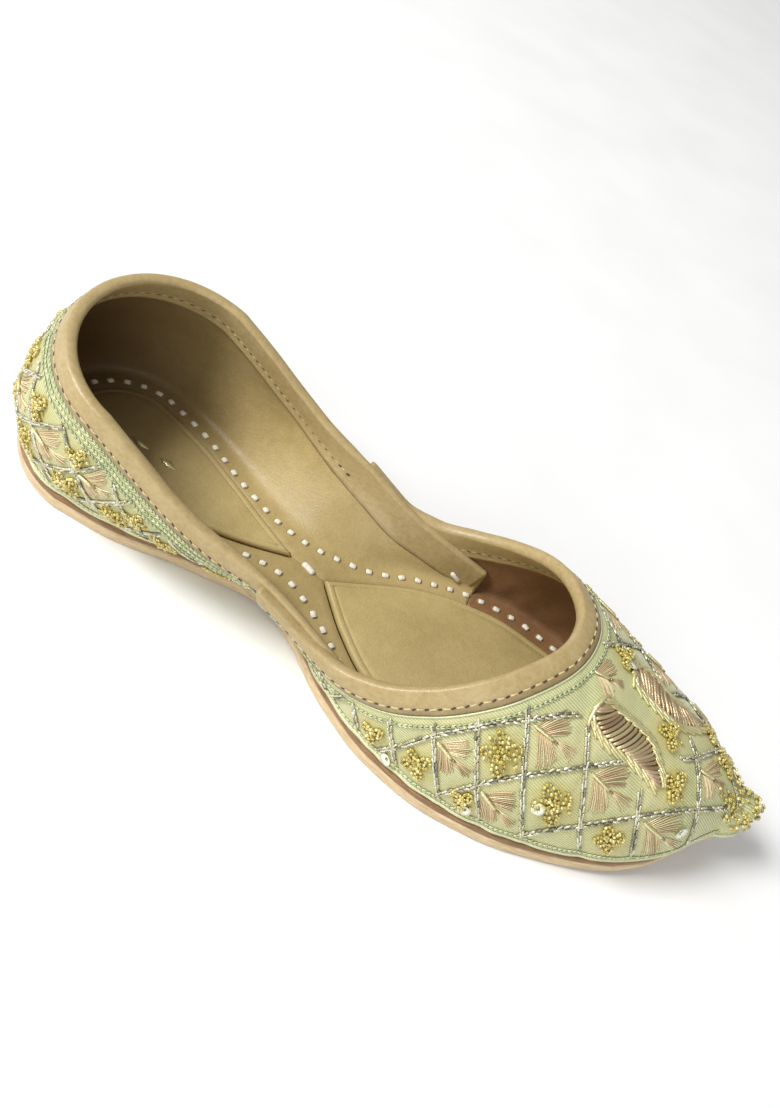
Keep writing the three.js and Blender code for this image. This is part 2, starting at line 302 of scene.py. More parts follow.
def quarter_point(p, v, inset=0.0):
    p, v = np.broadcast_arrays(np.asarray(p, float), np.asarray(v, float))
    z = UPPER_BASE + v
    station, turn = round_heel(p)
    height = ramp((z - UPPER_BASE) / (COLLAR_BACK - UPPER_BASE))
    fade = ramp((SHEAR_END - station) / (SHEAR_END - HEEL_CENTRE))
    s = station + (COLLAR_CENTRE - HEEL_CENTRE) * height * fade
    half = body_half(s, z) - lap(s) - inset
    reach = s - heel_back(z) - inset
    return on_last(s - reach * np.sin(turn), np.sign(p) * half * np.cos(turn), z)


def quarter_rim(p):
    """Height of the collar above the seam."""
    station, turn = round_heel(p)
    rise = (COLLAR_BACK - quarter_rim_row(HEEL_CENTRE)) * np.sin(turn)
    return quarter_rim_row(station) + rise - UPPER_BASE


def quarter_lines_gap(p, v):
    """Distance to the nearest line of the quarter's diamond lattice."""
    gaps = []
    for way in (-1, 1):
        across = (p + way * QUARTER_SLOPE * v) / QUARTER_CELL
        gaps.append(np.abs(across - np.round(across)) * QUARTER_CELL)
    rim = np.maximum(quarter_rim(p) - v - BINDING_OUTSIDE, 0)
    return np.minimum(np.minimum(*gaps) * LINE_PULL, rim)


def vamp_section(s, side, angle, inset=0.0):
    """A point of the vamp: angle goes from 0 at the seam to a quarter turn at the crest."""
    share = np.sin(angle) ** (2 / DOME_POWER)
    z = UPPER_BASE + (crest(s) - inset - UPPER_BASE) * share
    cap = ellipse(ramp((s + inset - SOLE_CAP) / (VAMP_TIP - SOLE_CAP)))
    width = np.maximum(open_half(s, z) - inset, 0) * cap
    return on_last(s, side * width * np.maximum(np.cos(angle), 0) ** (2 / DOME_POWER), z)


def vamp_angle_at(s, z):
    share = ramp((z - UPPER_BASE) / (crest(s) - UPPER_BASE))
    return np.arcsin(share ** (DOME_POWER / 2))


def lengths(points):
    """Distance in millimetres along the last-but-one axis, from its first point."""
    steps = np.linalg.norm(np.diff(points, axis=-2), axis=-1) / MM
    start = np.zeros(steps.shape[:-1] + (1,))
    return np.concatenate([start, np.cumsum(steps, axis=-1)], -1)


def vamp_stations(tip, number):
    """Stations along the vamp, closer together towards its tip."""
    return VAMP_BACK + (tip - VAMP_BACK) * np.sin(np.linspace(0, QUARTER_TURN, number))


# The vamp's pattern: for each station, the angle at even shares of the way from crest to seam.
CHART_S = vamp_stations(VAMP_TIP, 260)
CHART_ANGLES = np.linspace(QUARTER_TURN, 0, 120)
CHART_GIRTH = lengths(vamp_section(CHART_S[:, None], 1, CHART_ANGLES[None, :]))
CHART_TOTAL = CHART_GIRTH[:, -1]
CHART_SHARES = np.linspace(0, 1, 90)
CHART = np.array([np.interp(CHART_SHARES * girth[-1], girth, CHART_ANGLES) for girth in CHART_GIRTH])


def vamp_girth(s):
    """The way along the skin from the crest to the seam."""
    return np.interp(s, CHART_S, CHART_TOTAL)


def vamp_point(s, g, inset=0.0):
    s, g = np.broadcast_arrays(np.asarray(s, float), np.asarray(g, float))
    row = np.interp(s, CHART_S, np.arange(len(CHART_S)))
    column = ramp(np.abs(g) / vamp_girth(s)) * (len(CHART_SHARES) - 1)
    i = np.minimum(row.astype(int), len(CHART_S) - 2)
    j = np.minimum(column.astype(int), len(CHART_SHARES) - 2)
    down, right = row - i, column - j
    first = CHART[i, j] * (1 - right) + CHART[i, j + 1] * right
    second = CHART[i + 1, j] * (1 - right) + CHART[i + 1, j + 1] * right
    return vamp_section(s, np.sign(g), first * (1 - down) + second * down, inset)


def vamp_rim_girth(s):
    """The way along the skin from the crest down to the cut edge of the throat."""
    angles = vamp_angle_at(s, vamp_rim(s))
    shares = np.linspace(0, 1, 80)
    swept = QUARTER_TURN + (angles[:, None] - QUARTER_TURN) * shares
    girth = lengths(vamp_section(s[:, None], 1, swept))[:, -1]
    return np.where(s < THROAT, girth, 0)


RIM_POINTS = 130
RIM_EASED_WITHIN = 24
RIM_EASINGS = 40


def rim_meets_crest():
    """Where the rising throat edge reaches the top of the vamp."""
    s = np.linspace(THROAT - 10, THROAT, 400)
    return float(s[np.argmax(vamp_rim(s) >= crest(s) - 0.02)])


def vamp_rim_path():
    """The throat edge from the outer rear tip round the front to the inner one."""
    front = rim_meets_crest()
    t = np.linspace(1, 0, RIM_POINTS)
    s = front - (front - VAMP_BACK) * t**2
    near = np.stack([s, -vamp_rim_girth(s)], 1)
    near[-1, 1] = 0
    path = np.concatenate([near, near[::-1][1:] * (1, -1)])
    middle = np.abs(path[:, 1:]) < RIM_EASED_WITHIN
    for _ in range(RIM_EASINGS):
        eased = path.copy()
        eased[1:-1] = (path[:-2] + 2 * path[1:-1] + path[2:]) / 4
        path = np.where(middle, eased, path)
    return path


RIM_PATH = vamp_rim_path()
RIM_TRACK = RIM_PATH[::4]


def from_path(points, path):
    """Distance from each pattern point to the nearest point of a path."""
    flat = points.reshape(-1, 1, 2)
    return np.linalg.norm(flat - path[None], axis=-1).min(1).reshape(points.shape[:-1])


def vamp_lines_gap(s, g):
    """Distance to the nearest couched line of the vamp."""
    reach = np.abs(g - PATTERN_MIDDLE)
    ribs = np.abs((s - RIB_LEAN * reach)[..., None] - RIBS).min(-1)
    rails = np.abs((s + rail_run(reach))[..., None] - RAILS).min(-1)
    s, g = np.broadcast_arrays(np.asarray(s, float), np.asarray(g, float))
    rim = np.maximum(from_path(np.stack([s, g], -1), RIM_TRACK) - BINDING_OUTSIDE, 0)
    return np.minimum(np.minimum(ribs, rails) * LINE_PULL, rim)


VAMP = Skin(vamp_point, 1, vamp_lines_gap)
QUARTER = Skin(quarter_point, -1, quarter_lines_gap)


# --- Meshes ------------------------------------------------------------------------------------

def added(name, data):
    """A new object in the scene."""
    obj = bpy.data.objects.new(name, data)
    bpy.context.scene.collection.objects.link(obj)
    return obj


def piece(name, vertices, faces, material, slot, attributes=None):
    """One mesh of the shoe, in the row's frame."""
    mesh = bpy.data.meshes.new(name)
    mesh.from_pydata(np.asarray(vertices).tolist(), [], np.asarray(faces).tolist())
    for key, values in (attributes or {}).items():
        values = np.asarray(values, np.float32)
        kind, field = ("FLOAT", "value") if values.ndim == 1 else ("FLOAT_VECTOR", "vector")
        mesh.attributes.new(key, kind, "POINT").data.foreach_set(field, values.ravel())
    mesh.polygons.foreach_set("use_smooth", [True] * len(mesh.polygons))
    mesh.materials.append(material)
    mesh.update()
    obj = added(name, mesh)
    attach(obj, "root")
    return obj


def grid_faces(rows, columns, start=0, flip=False):
    """Quads between the points of a grid whose first point has the number start."""
    i, j = np.meshgrid(np.arange(rows - 1), np.arange(columns - 1), indexing="ij")
    corner = start + (i * columns + j).ravel()
    quads = np.stack([corner, corner + 1, corner + columns + 1, corner + columns], 1)
    return quads[:, ::-1] if flip else quads


def ring_faces(rings, around, flip=False):
    """Quads of a tube whose rings each close on themselves."""
    i, j = np.meshgrid(np.arange(rings - 1), np.arange(around), indexing="ij")
    here = (i * around + j).ravel()
    beside = (i * around + (j + 1) % around).ravel()
    quads = np.stack([here, beside, beside + around, here + around], 1)
    return quads[:, ::-1] if flip else quads


def cap_faces(around):
    """Quads that fill a ring with an even number of points."""
    return np.array([(i, i + 1, around - 2 - i, around - 1 - i) for i in range(around // 2 - 1)])


def sheet(name, grids, material, slot, thickness, attributes=None):
    """Grids of points joined where they touch, and given a thickness inward from their face."""
    vertices, faces, start = [], [], 0
    for points, flip in grids:
        rows, columns = points.shape[:2]
        vertices.append(points.reshape(-1, 3))
        faces.append(grid_faces(rows, columns, start, flip))
        start += rows * columns
    obj = piece(name, np.concatenate(vertices), np.concatenate(faces), material, slot, attributes)
    weld(obj, 0.03)
    solid = obj.modifiers.new("thickness", "SOLIDIFY")
    solid.thickness = thickness * MM
    solid.offset = -1
    settle(obj)
    return obj


def weld(obj, distance):
    """Joins the piece's points that are nearer than a distance."""
    obj.modifiers.new("join", "WELD").merge_threshold = distance * MM


def settle(obj):
    """Makes the result of the piece's modifiers its own mesh."""
    graph = bpy.context.evaluated_depsgraph_get()
    mesh = bpy.data.meshes.new_from_object(obj.evaluated_get(graph))
    obj.modifiers.clear()
    obj.data = mesh


class Heap:
    """Many small closed tubes gathered into one mesh, each with a shade of its own."""

    def __init__(self, sides=6):
        self.sides = sides
        self.vertices, self.faces, self.shades = [], [], []
        self.count = 0

    def tubes(self, paths, outs, radii, shades, flat=1.0):
        """Tubes along paths of places; flat squeezes them towards the skin."""
        number, rings = paths.shape[:2]
        tangent = unit(np.gradient(paths, axis=1))
        side = unit(np.cross(tangent, outs))
        over = np.cross(side, tangent) * flat
        turn = np.arange(self.sides) * 2 * math.pi / self.sides
        ring = side[:, :, None] * np.cos(turn)[:, None] + over[:, :, None] * np.sin(turn)[:, None]
        around = paths[:, :, None] + ring * radii[:, :, None, None] * MM
        end = cap_faces(self.sides)
        last = (rings - 1) * self.sides
        one = np.concatenate([ring_faces(rings, self.sides), end[:, ::-1], end + last])
        size = rings * self.sides
        starts = self.count + np.arange(number) * size
        self.vertices.append(around.reshape(-1, 3))
        self.faces.append((one[None] + starts[:, None, None]).reshape(-1, 4))
        self.shades.append(np.repeat(np.broadcast_to(shades, number), size))
        self.count += number * size

    def lay(self, skin, starts, ends, radius, height, shades, profile=ROD, flat=1.0, bow=0.0):
        """Straight or slightly bowed tubes on a skin, between pattern points."""
        starts, ends = np.atleast_2d(starts), np.atleast_2d(ends)
        share, width, rise = np.array(profile).T
        way = ends - starts
        aside = np.stack([-way[:, 1], way[:, 0]], 1) * bow
        bulge = 4 * share * (1 - share)
        points = starts[:, None] + way[:, None] * share[:, None]
        points = points + aside[:, None] * bulge[:, None]
        radius = np.broadcast_to(radius, len(starts))[:, None] * width
        above = np.broadcast_to(height, len(starts))[:, None] * rise
        paths, outs = skin.raised(points[..., 0], points[..., 1], above)
        self.tubes(paths, outs, radius, shades, flat)

    def lay_on(self, skin, middles, halves, *looks):
        """Tubes given by their middles and the way from there to their ends."""
        self.lay(skin, middles - halves, middles + halves, *looks)

    def build(self, name, material, slot):
        return piece(
            name, np.concatenate(self.vertices), np.concatenate(self.faces), material, slot,
            {"shade": np.concatenate(self.shades)},
        )


def shades_near(mean, spread, number=None):
    """Random shades from 0 to 1 round a mean."""
    return np.clip(random.normal(mean, spread, number), 0, 1)


def along_line(line, pitch, start=0.0):
    """Evenly spaced points on a pattern line, with its direction at each."""
    line = np.asarray(line, float)
    run = np.append(0, np.cumsum(np.linalg.norm(np.diff(line, axis=0), axis=1)))
    at = np.arange(start, run[-1], pitch)
    points = np.stack([np.interp(at, run, line[:, k]) for k in (0, 1)], 1)
    slope = unit(np.gradient(line, axis=0))
    way = unit(np.stack([np.interp(at, run, slope[:, k]) for k in (0, 1)], 1))
    return points, way


def aside_of(way):
    """The direction a quarter turn to the right of a pattern direction."""
    return np.stack([way[..., 1], -way[..., 0]], -1)


def turned(way, angle):
    """Pattern directions turned by an angle in radians."""
    cos, sin = np.cos(angle), np.sin(angle)
    return np.stack([way[..., 0] * cos - way[..., 1] * sin, way[..., 0] * sin + way[..., 1] * cos], -1)


def shifted(line, distance):
    """A pattern line moved sideways, to its right."""
    return line + aside_of(unit(np.gradient(line, axis=0))) * distance


# --- Materials ---------------------------------------------------------------------------------

class Look:
    """A node material, written one node at a time. Sizes are in millimetres."""

    def __init__(self, name, constants):
        self.material = bpy.data.materials.new(name)
        self.material.use_nodes = True
        self.tree = self.material.node_tree
        self.shader = self.tree.nodes["Principled BSDF"]
        for key, value in constants.items():
            self.shader.inputs[key].default_value = value
        self.place = self.node("TexCoord").outputs["Object"]

    def put(self, socket, value):
        if isinstance(value, bpy.types.NodeSocket):
            self.tree.links.new(value, socket)
        else:
            socket.default_value = value

    def node(self, kind, values=None, **settings):
        made = self.tree.nodes.new("ShaderNode" + kind)
        for key, value in settings.items():
            setattr(made, key, value)
        for key, value in (values or {}).items():
            self.put(made.inputs[key], value)
        return made

    def attribute(self, name, output="Fac"):
        return self.node("Attribute", attribute_name=name).outputs[output]

    def stretched(self, x, y, z):
        return self.node("Mapping", {"Vector": self.place, "Scale": (x, y, z)}).outputs[0]

    def noise(self, size, detail=3.0, rough=0.5, at=None):
        values = {
            "Vector": at or self.place, "Scale": 1 / (size * MM), "Detail": detail,
            "Roughness": rough,
        }
        return self.node("TexNoise", values).outputs["Fac"]

    def pores(self, size):
        values = {"Vector": self.place, "Scale": 1 / (size * MM)}
        return self.node("TexVoronoi", values).outputs["Distance"]

    def stripes(self, at, size, direction, distortion=0.0):
        """Soft bands across pattern coordinates, size millimetres from one to the next."""
        values = {"Vector": at, "Scale": 0.314 / size, "Distortion": distortion}
        return self.node("TexWave", values, bands_direction=direction).outputs["Fac"]

    def span(self, value, low, high, first=0.0, last=1.0):
        """Spreads the part of a value from first to last over low to high."""
        values = {"Value": value, "From Min": first, "From Max": last, "To Min": low, "To Max": high}
        return self.node("MapRange", values).outputs["Result"]

    def colours(self, value, stops):
        made = self.node("ValToRGB", {"Fac": value})
        band = made.color_ramp.elements
        while len(band) < len(stops):
            band.new(0.5)
        for element, (position, colour) in zip(band, stops):
            element.position = position
            element.color = (*colour, 1)
        return made.outputs["Color"]

    def mixed(self, share, first, second, blend="MIX"):
        made = self.node("Mix", data_type="RGBA", blend_type=blend)
        for socket, value in zip((0, 6, 7), (share, first, second)):
            value = (*value, 1) if isinstance(value, tuple) else value
            self.put(made.inputs[socket], value)
        return made.outputs[2]

    def maths(self, operation, first, second):
        made = self.node("Math", operation=operation)
        self.put(made.inputs[0], first)
        self.put(made.inputs[1], second)
        return made.outputs[0]

    def tinted(self, colour, other, value, most, first=0.0, last=1.0):
        """Lets another colour in, at most by most, as a value goes from first to last."""
        return self.mixed(self.span(value, 0.0, most, first, last), colour, other)

    def finish(self, colour, roughness, *bumps):
        """The finished material; bumps are pairs of a height and its depth, one over the other."""
        normal = None
        for height, depth in bumps:
            values = {"Height": height, "Distance": depth * MM, "Strength": 1.0}
            if normal:
                values["Normal"] = normal
            normal = self.node("Bump", values).outputs["Normal"]
        self.put(self.shader.inputs["Base Color"], colour)
        self.put(self.shader.inputs["Roughness"], roughness)
        self.put(self.shader.inputs["Normal"], normal)
        return self.material


def smooth_leather(name, dark, light, rough):
    """Half-matt leather with cloudy dye, fine pores and faint creases, with painted shade turning it
    dark brown towards the heel.
    """
    look = Look(name, {"Specular IOR Level": 0.3, "Coat Weight": 0.03, "Coat Roughness": 0.4})
    clouds = look.noise(30, 4, 0.55)
    mottle = look.noise(3.2, 5, 0.6)
    tone = look.maths("ADD", look.maths("MULTIPLY", clouds, 0.72), look.maths("MULTIPLY", mottle, 0.28))
    colour = look.colours(tone, [(0.36, dark), (0.64, light)])
    specks = look.span(look.noise(0.55, 2), 0.9, 1.06, 0.3, 0.7)
    colour = look.mixed(1.0, colour, specks, "MULTIPLY")
    # Painted shade: the leather darkens to brown towards the heel, where the inside of the heel lies in
    # shadow.
    along = look.node("SeparateXYZ", {"Vector": look.place}).outputs["X"]
    painted_shade = look.span(along, 0.95, 0.0, (X_HEEL + PAINTED_SHADE_FROM) * MM, (X_HEEL + PAINTED_SHADE_TO) * MM)
    colour = look.mixed(painted_shade, colour, (0.10, 0.052, 0.02))
    creases = look.noise(2.4, 6, 0.65, look.stretched(0.5, 1, 1))
    roughness = look.span(mottle, rough - 0.07, rough + 0.1, 0.3, 0.7)
    return look.finish(colour, roughness, (look.pores(0.7), 0.05), (creases, 0.11))


def binding_leather():
    """Thin folded leather, rubbed lighter in patches and darker at its cut edges."""
    look = Look("binding_leather", {"Specular IOR Level": 0.5, "Coat Weight": 0.08})
    streaks = look.noise(1.1, 5, 0.6, look.stretched(0.7, 0.9, 1))
    colour = look.colours(streaks, [(0.3, (0.37, 0.27, 0.115)), (0.7, (0.47, 0.355, 0.165))])
    colour = look.tinted(colour, (0.17, 0.105, 0.045), look.attribute("edge"), 0.85)
    colour = look.tinted(colour, (0.54, 0.43, 0.22), look.noise(7, 3), 0.3, 0.48, 0.7)
    return look.finish(colour, look.span(streaks, 0.38, 0.55), (streaks, 0.06), (look.pores(0.6), 0.04))


def sole_edge(name, dark, light, depth):
    """The cut edge of vegetable-tanned leather: pressed layers of fibre, a little fuzzy."""
    look = Look(name, {"Specular IOR Level": 0.3, "Sheen Weight": 0.15})
    layers = look.noise(1.1, 6, 0.65, look.stretched(0.22, 0.22, 1.6))
    colour = look.colours(layers, [(0.3, dark), (0.68, light)])
    colour = look.tinted(colour, dark, look.noise(14, 4, 0.6), 0.45, 0.45, 0.75)
    fuzz = look.noise(0.35, 4, 0.7)
    return look.finish(colour, look.span(layers, 0.62, 0.85), (layers, depth), (fuzz, depth * 0.6))


def silk_cloth():
    """Pale green silk: fine ribs, soft mottling, and a gold cast where beads are sewn."""
    look = Look("embroidered_silk", {
        "Specular IOR Level": 0.45, "Sheen Weight": 0.35, "Sheen Roughness": 0.35,
        "Sheen Tint": (0.93, 1.0, 0.82, 1),
    })
    cloth = look.attribute("cloth", "Vector")
    ribs = look.stripes(cloth, 0.74, "X", 0.5)
    weft = look.stripes(cloth, 0.5, "Y", 0.8)
    slub = look.noise(1.6, 4, 0.65)
    colour = look.tinted((0.35, 0.38, 0.16), (0.65, 0.65, 0.36), ribs, 1.0)
    colour = look.tinted(colour, (0.72, 0.71, 0.43), weft, 0.3)
    colour = look.tinted(colour, (0.64, 0.54, 0.28), look.noise(20, 3, 0.5), 0.6, 0.45, 0.72)
    colour = look.tinted(colour, (0.38, 0.42, 0.19), slub, 0.35, 0.5, 0.8)
    stain = look.maths("MULTIPLY", look.attribute("stain"), look.span(slub, 0.5, 1.0, 0.3, 0.65))
    colour = look.mixed(stain, colour, (0.50, 0.39, 0.06))
    bumps = ((ribs, 0.07), (weft, 0.03), (look.noise(4.5, 3), 0.35))
    return look.finish(colour, look.span(ribs, 0.58, 0.42), *bumps)


def metal_thread(name, stops, rough, metal=0.72):
    """Twisted metal thread: every length has its own shade, crossed by fine turns."""
    look = Look(name, {"Metallic": metal, "Specular IOR Level": 0.6})
    colour = look.colours(look.attribute("shade"), stops)
    turns = look.noise(0.42, 3, 0.6)
    colour = look.tinted(colour, (0.22, 0.17, 0.08), turns, 0.4, 0.52, 0.78)
    return look.finish(colour, look.span(turns, rough - 0.08, rough + 0.12), (turns, 0.12))


def bead_glass():
    """Silver-lined amber glass, each bead a little lighter or darker."""
    look = Look("glass_beads", {"Metallic": 0.15, "Coat Weight": 0.8, "Coat Roughness": 0.08})
    stops = [(0.0, (0.26, 0.19, 0.02)), (0.5, (0.52, 0.40, 0.05)), (1.0, (0.84, 0.76, 0.32))]
    colour = look.colours(look.attribute("shade"), stops)
    swirl = look.noise(0.8, 2)
    colour = look.tinted(colour, (0.93, 0.84, 0.45), swirl, 0.35, 0.45, 0.7)
    return look.finish(colour, look.span(swirl, 0.1, 0.28), (swirl, 0.04))


def cotton_thread(name, dark, light):
    """Waxed cotton: a soft twist, its colour darker where the twist sinks in."""
    look = Look(name, {"Specular IOR Level": 0.3, "Sheen Weight": 0.2})
    twist = look.noise(0.5, 4, 0.6)
    colour = look.colours(twist, [(0.3, dark), (0.6, light)])
    return look.finish(colour, look.span(twist, 0.55, 0.8), (twist, 0.1))


def pearly_disc():
    """Sequins: thin pearly discs with a soft, slightly greenish gleam."""
    look = Look("pearl_sequin", {"Metallic": 0.25, "Coat Weight": 1.0, "Coat Roughness": 0.05})
    gleam = look.noise(1.8, 2)
    colour = look.colours(gleam, [(0.35, (0.72, 0.76, 0.56)), (0.65, (0.95, 0.93, 0.76))])
    return look.finish(colour, look.span(gleam, 0.12, 0.25), (gleam, 0.05))


# --- Leather and silk --------------------------------------------------------------------------

def rear_slant(s, share):
    """The vamp's rear edge slopes: share is 0 at the seam and 1 at the rim."""
    slope = ramp((QUARTER_FRONT - s) / (QUARTER_FRONT - VAMP_BACK))
    return s + VAMP_REAR_SLANT * (1 - share) * slope


def cloth_attributes(a, b, flowers):
    """Thread directions and bead stains of silk with these pattern coordinates."""
    threads = np.stack([b, a, np.zeros_like(a)], -1)
    stain = np.zeros_like(a)
    for place, size in flowers:
        distance = (a - place[0]) ** 2 + (b - place[1]) ** 2
        stain = np.maximum(stain, np.exp(-distance / (FLOWER_STAIN * size) ** 2))
    return {"cloth": threads, "stain": stain}


def vamp_silk(look, flowers):
    s = vamp_stations(VAMP_TIP, 210)[:, None]
    share = np.linspace(0, 1, 56)[None, :]
    rim = vamp_rim_girth(s[:, 0])[:, None]
    grids, a, b = [], [], []
    for side in (-1, 1):
        along = rear_slant(s, share)
        girth = side * (rim + (vamp_girth(s) - rim) * (1 - share))
        grids.append((VAMP.raised(along, girth)[0], side < 0))
        a.append(along.ravel())
        b.append(girth.ravel())
    marks = cloth_attributes(np.concatenate(a), np.concatenate(b), flowers)
    skin = sheet("vamp_silk", grids, look, "embroidered_silk", 0.7, marks)
    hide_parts("upper_vamp")


def quarter_silk(look, flowers):
    p = np.linspace(-QUARTER_REACH, QUARTER_REACH, 260)[:, None]
    share = np.linspace(0, 1, 36)[None, :]
    v = quarter_rim(p) * share
    p, v = np.broadcast_arrays(p, v)
    marks = cloth_attributes(p.ravel(), v.ravel(), flowers)
    hidden = smooth((np.abs(p) - TUCK_START) / TUCK_RUN)
    place, out = QUARTER.frame(p, v)
    above = QUARTER.cover(p, v) * (1 - hidden) + 0.1 * hidden
    points = place + out * above[..., None] * MM
    skin = sheet("quarter_silk", [(points, False)], look, "embroidered_silk", 0.6, marks)
    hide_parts("upper_quarter")


def bent_in(wall, foot, edge, floor_edge, room):
    """A wall's grid, run on round the corner to the flange and over the flange's edge."""
    top = wall[:, -1]
    way = edge - foot
    width = np.linalg.norm(way, axis=-1, keepdims=True)
    start = foot + way * np.minimum(room * MM / np.maximum(width, 1e-9), 0.4)
    corner = [
        (1 - t) ** 2 * top + 2 * t * (1 - t) * foot + t**2 * start
        for t in np.linspace(0, 1, 7)[1:]
    ]
    flat = [start + (edge - start) * t for t in (0.3, 0.65, 0.97)]
    down = [edge + (floor_edge - edge) * t for t in (0.15, 1.0)]
    return np.concatenate([wall, np.stack(corner + flat + down, 1)], 1)


def flange_edge(s):
    room = np.where(s < WAIST, heel_pad(s), front_pad(s))
    return np.where(room > 0, room + 2 * GAP, 0)


def vamp_lining(look):
    """The vamp's inside, creased a little above the sole, and its turned-in margin."""
    s = vamp_stations(VAMP_TIP - WALL - 0.15, 170)
    floor = UPPER_BASE + FLANGE
    grids = []
    for side in (-1, 1):
        rim = vamp_rim_girth(s)
        low = vamp_girth(s) - VAMP_WALL_END
        share = np.linspace(0, 1, 34)[None, :]
        girth = rim[:, None] + (low - rim)[:, None] * share
        along = rear_slant(s[:, None], 1 - share)
        place, out = VAMP.frame(along, side * girth, WALL)
        crease = np.sin(along * 0.55 + girth * 0.25) * np.sin(along * 0.16 + 1.3)
        crease = crease * smooth((share - 0.45) / 0.4) * smooth((s[:, None] - 140) / 20)
        wall = place - out * (CREASE_DEPTH * crease)[..., None] * MM
        z_foot = np.full_like(s, floor)
        half = np.maximum(open_half(s, z_foot) - WALL, 0)
        half = half * ellipse(ramp((s + WALL - SOLE_CAP) / (VAMP_TIP - SOLE_CAP)))
        turned_in = s > QUARTER_FRONT + GAP
        edge_half = np.where(turned_in, np.minimum(half, flange_edge(s)), half)
        foot = on_last(s, side * half, z_foot)
        edge = on_last(s, side * edge_half, z_foot)
        floor_edge = on_last(s, side * edge_half, np.full_like(s, UPPER_BASE))
        grids.append((bent_in(wall, foot, edge, floor_edge, VAMP_BEND), side < 0))
    sheet("vamp_lining", grids, look, "lining_leather", LINING_THICKNESS)


def quarter_lining(look):
    """The quarter's inside, down the wall, round the corner and in to the pads."""
    p = np.linspace(-QUARTER_REACH, QUARTER_REACH, 300)
    share = np.linspace(0, 1, 26)[None, :]
    top = quarter_rim(p)
    low = FLANGE + QUARTER_BEND
    v = top[:, None] + (low - top)[:, None] * share
    wall = QUARTER.frame(p[:, None], v, WALL)[0]
    foot = QUARTER.frame(p, np.full_like(p, FLANGE), WALL)[0]
    station, turn = round_heel(p)
    back = (HEEL_CENTRE - HEEL_PAD_BACK + GAP) * np.sin(turn)
    half = np.sign(p) * flange_edge(station) * np.cos(turn)
    floor = np.full_like(p, UPPER_BASE + FLANGE)
    edge = on_last(station - back, half, floor)
    floor_edge = on_last(station - back, half, floor - FLANGE)
    grid = bent_in(wall, foot, edge, floor_edge, QUARTER_BEND)
    sheet("quarter_lining", [(grid, False)], look, "lining_leather", LINING_THICKNESS)


def slab(name, half, start, end, rings, crown, look, slot):
    """A flat-bottomed slab on the last: rings are (inset, height) from its lower to its upper edge."""
    way = np.sin(np.linspace(-QUARTER_TURN, QUARTER_TURN, 260)) * 0.5 + 0.5
    s = start + (end - start) * way
    outline = np.stack([s, half(s)], 1)
    outline[[0, -1], 1] = 0
    inward = aside_of(unit(np.gradient(outline, axis=0)))
    inward[0], inward[-1] = (1, 0), (-1, 0)
    sections = [(outline + inward * inset, z) for inset, z in rings]
    for moved, _ in sections:
        moved[:, 1] = np.maximum(moved[:, 1], 0)
    across = np.linspace(1, -1, 22)
    rows = [on_last(moved[:, 0], moved[:, 1], z) for moved, z in sections]
    top, top_z = sections[-1]
    swell = crown * (1 - across[None, :] ** 2) * ramp(top[:, 1:2] / 12)
    rows += list(on_last(top[:, :1], top[:, 1:2] * across, top_z + swell)[:, 1:-1].swapaxes(0, 1))
    rows += [on_last(moved[:, 0], -moved[:, 1], z) for moved, z in reversed(sections)]
    bottom, bottom_z = sections[0]
    flat = on_last(bottom[:, :1], bottom[:, 1:2] * -across, bottom_z)[:, 1:-1]
    rows += list(flat.swapaxes(0, 1))
    points = np.stack(rows, 1)
    number, around = points.shape[:2]
    obj = piece(name, points.reshape(-1, 3), ring_faces(number, around, True), look, slot)
    weld(obj, 0.02)
    settle(obj)
    return obj


def soles(tan, brown):
    low = [(0.9, 0.0), (0.3, 0.15), (0.05, 0.6), (-0.12, 1.6), (-0.1, 2.6), (0.0, 3.3), (0.35, OUTSOLE)]
    outsole = slab("outsole_edge", sole_half, 0, SOLE_TIP, low, 0, tan, "sole_leather")
    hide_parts("outsole")
    high = [(0.7, 0.0), (0.35, 0.25), (0.3, 1.1), (0.5, 1.7), (1.0, 2.0)]
    high = [(inset, OUTSOLE + height) for inset, height in high]
    midsole = slab("midsole_edge", sole_half, 0, SOLE_TIP, high, 0, brown, "midsole_leather")
    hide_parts("midsole")


def insoles(look):
    """Two thin pads, edges rolled over and a creased line pressed in near the rim."""
    top = UPPER_BASE + PAD
    rings = [
        (0.3, UPPER_BASE + 0.1), (0.0, top - 1.5), (0.12, top - 0.7), (0.45, top - 0.2),
        (1.0, top), (1.9, top + 0.03), (2.15, top - 0.2), (2.4, top - 0.2), (2.7, top + 0.05),
    ]
    ends = (HEEL_PAD_BACK, HEEL_PAD[-1][0])
    heel = slab("heel_pad", heel_pad, *ends, rings, HEEL_PAD_CROWN, look, "insole_leather")
    ends = (FRONT_PAD[0][0], FRONT_PAD[-1][0])
    front = slab("front_pad", front_pad, *ends, rings, FRONT_PAD_CROWN, look, "insole_leather")
    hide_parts("insole_heel_pad")
    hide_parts("insole_front_pad")


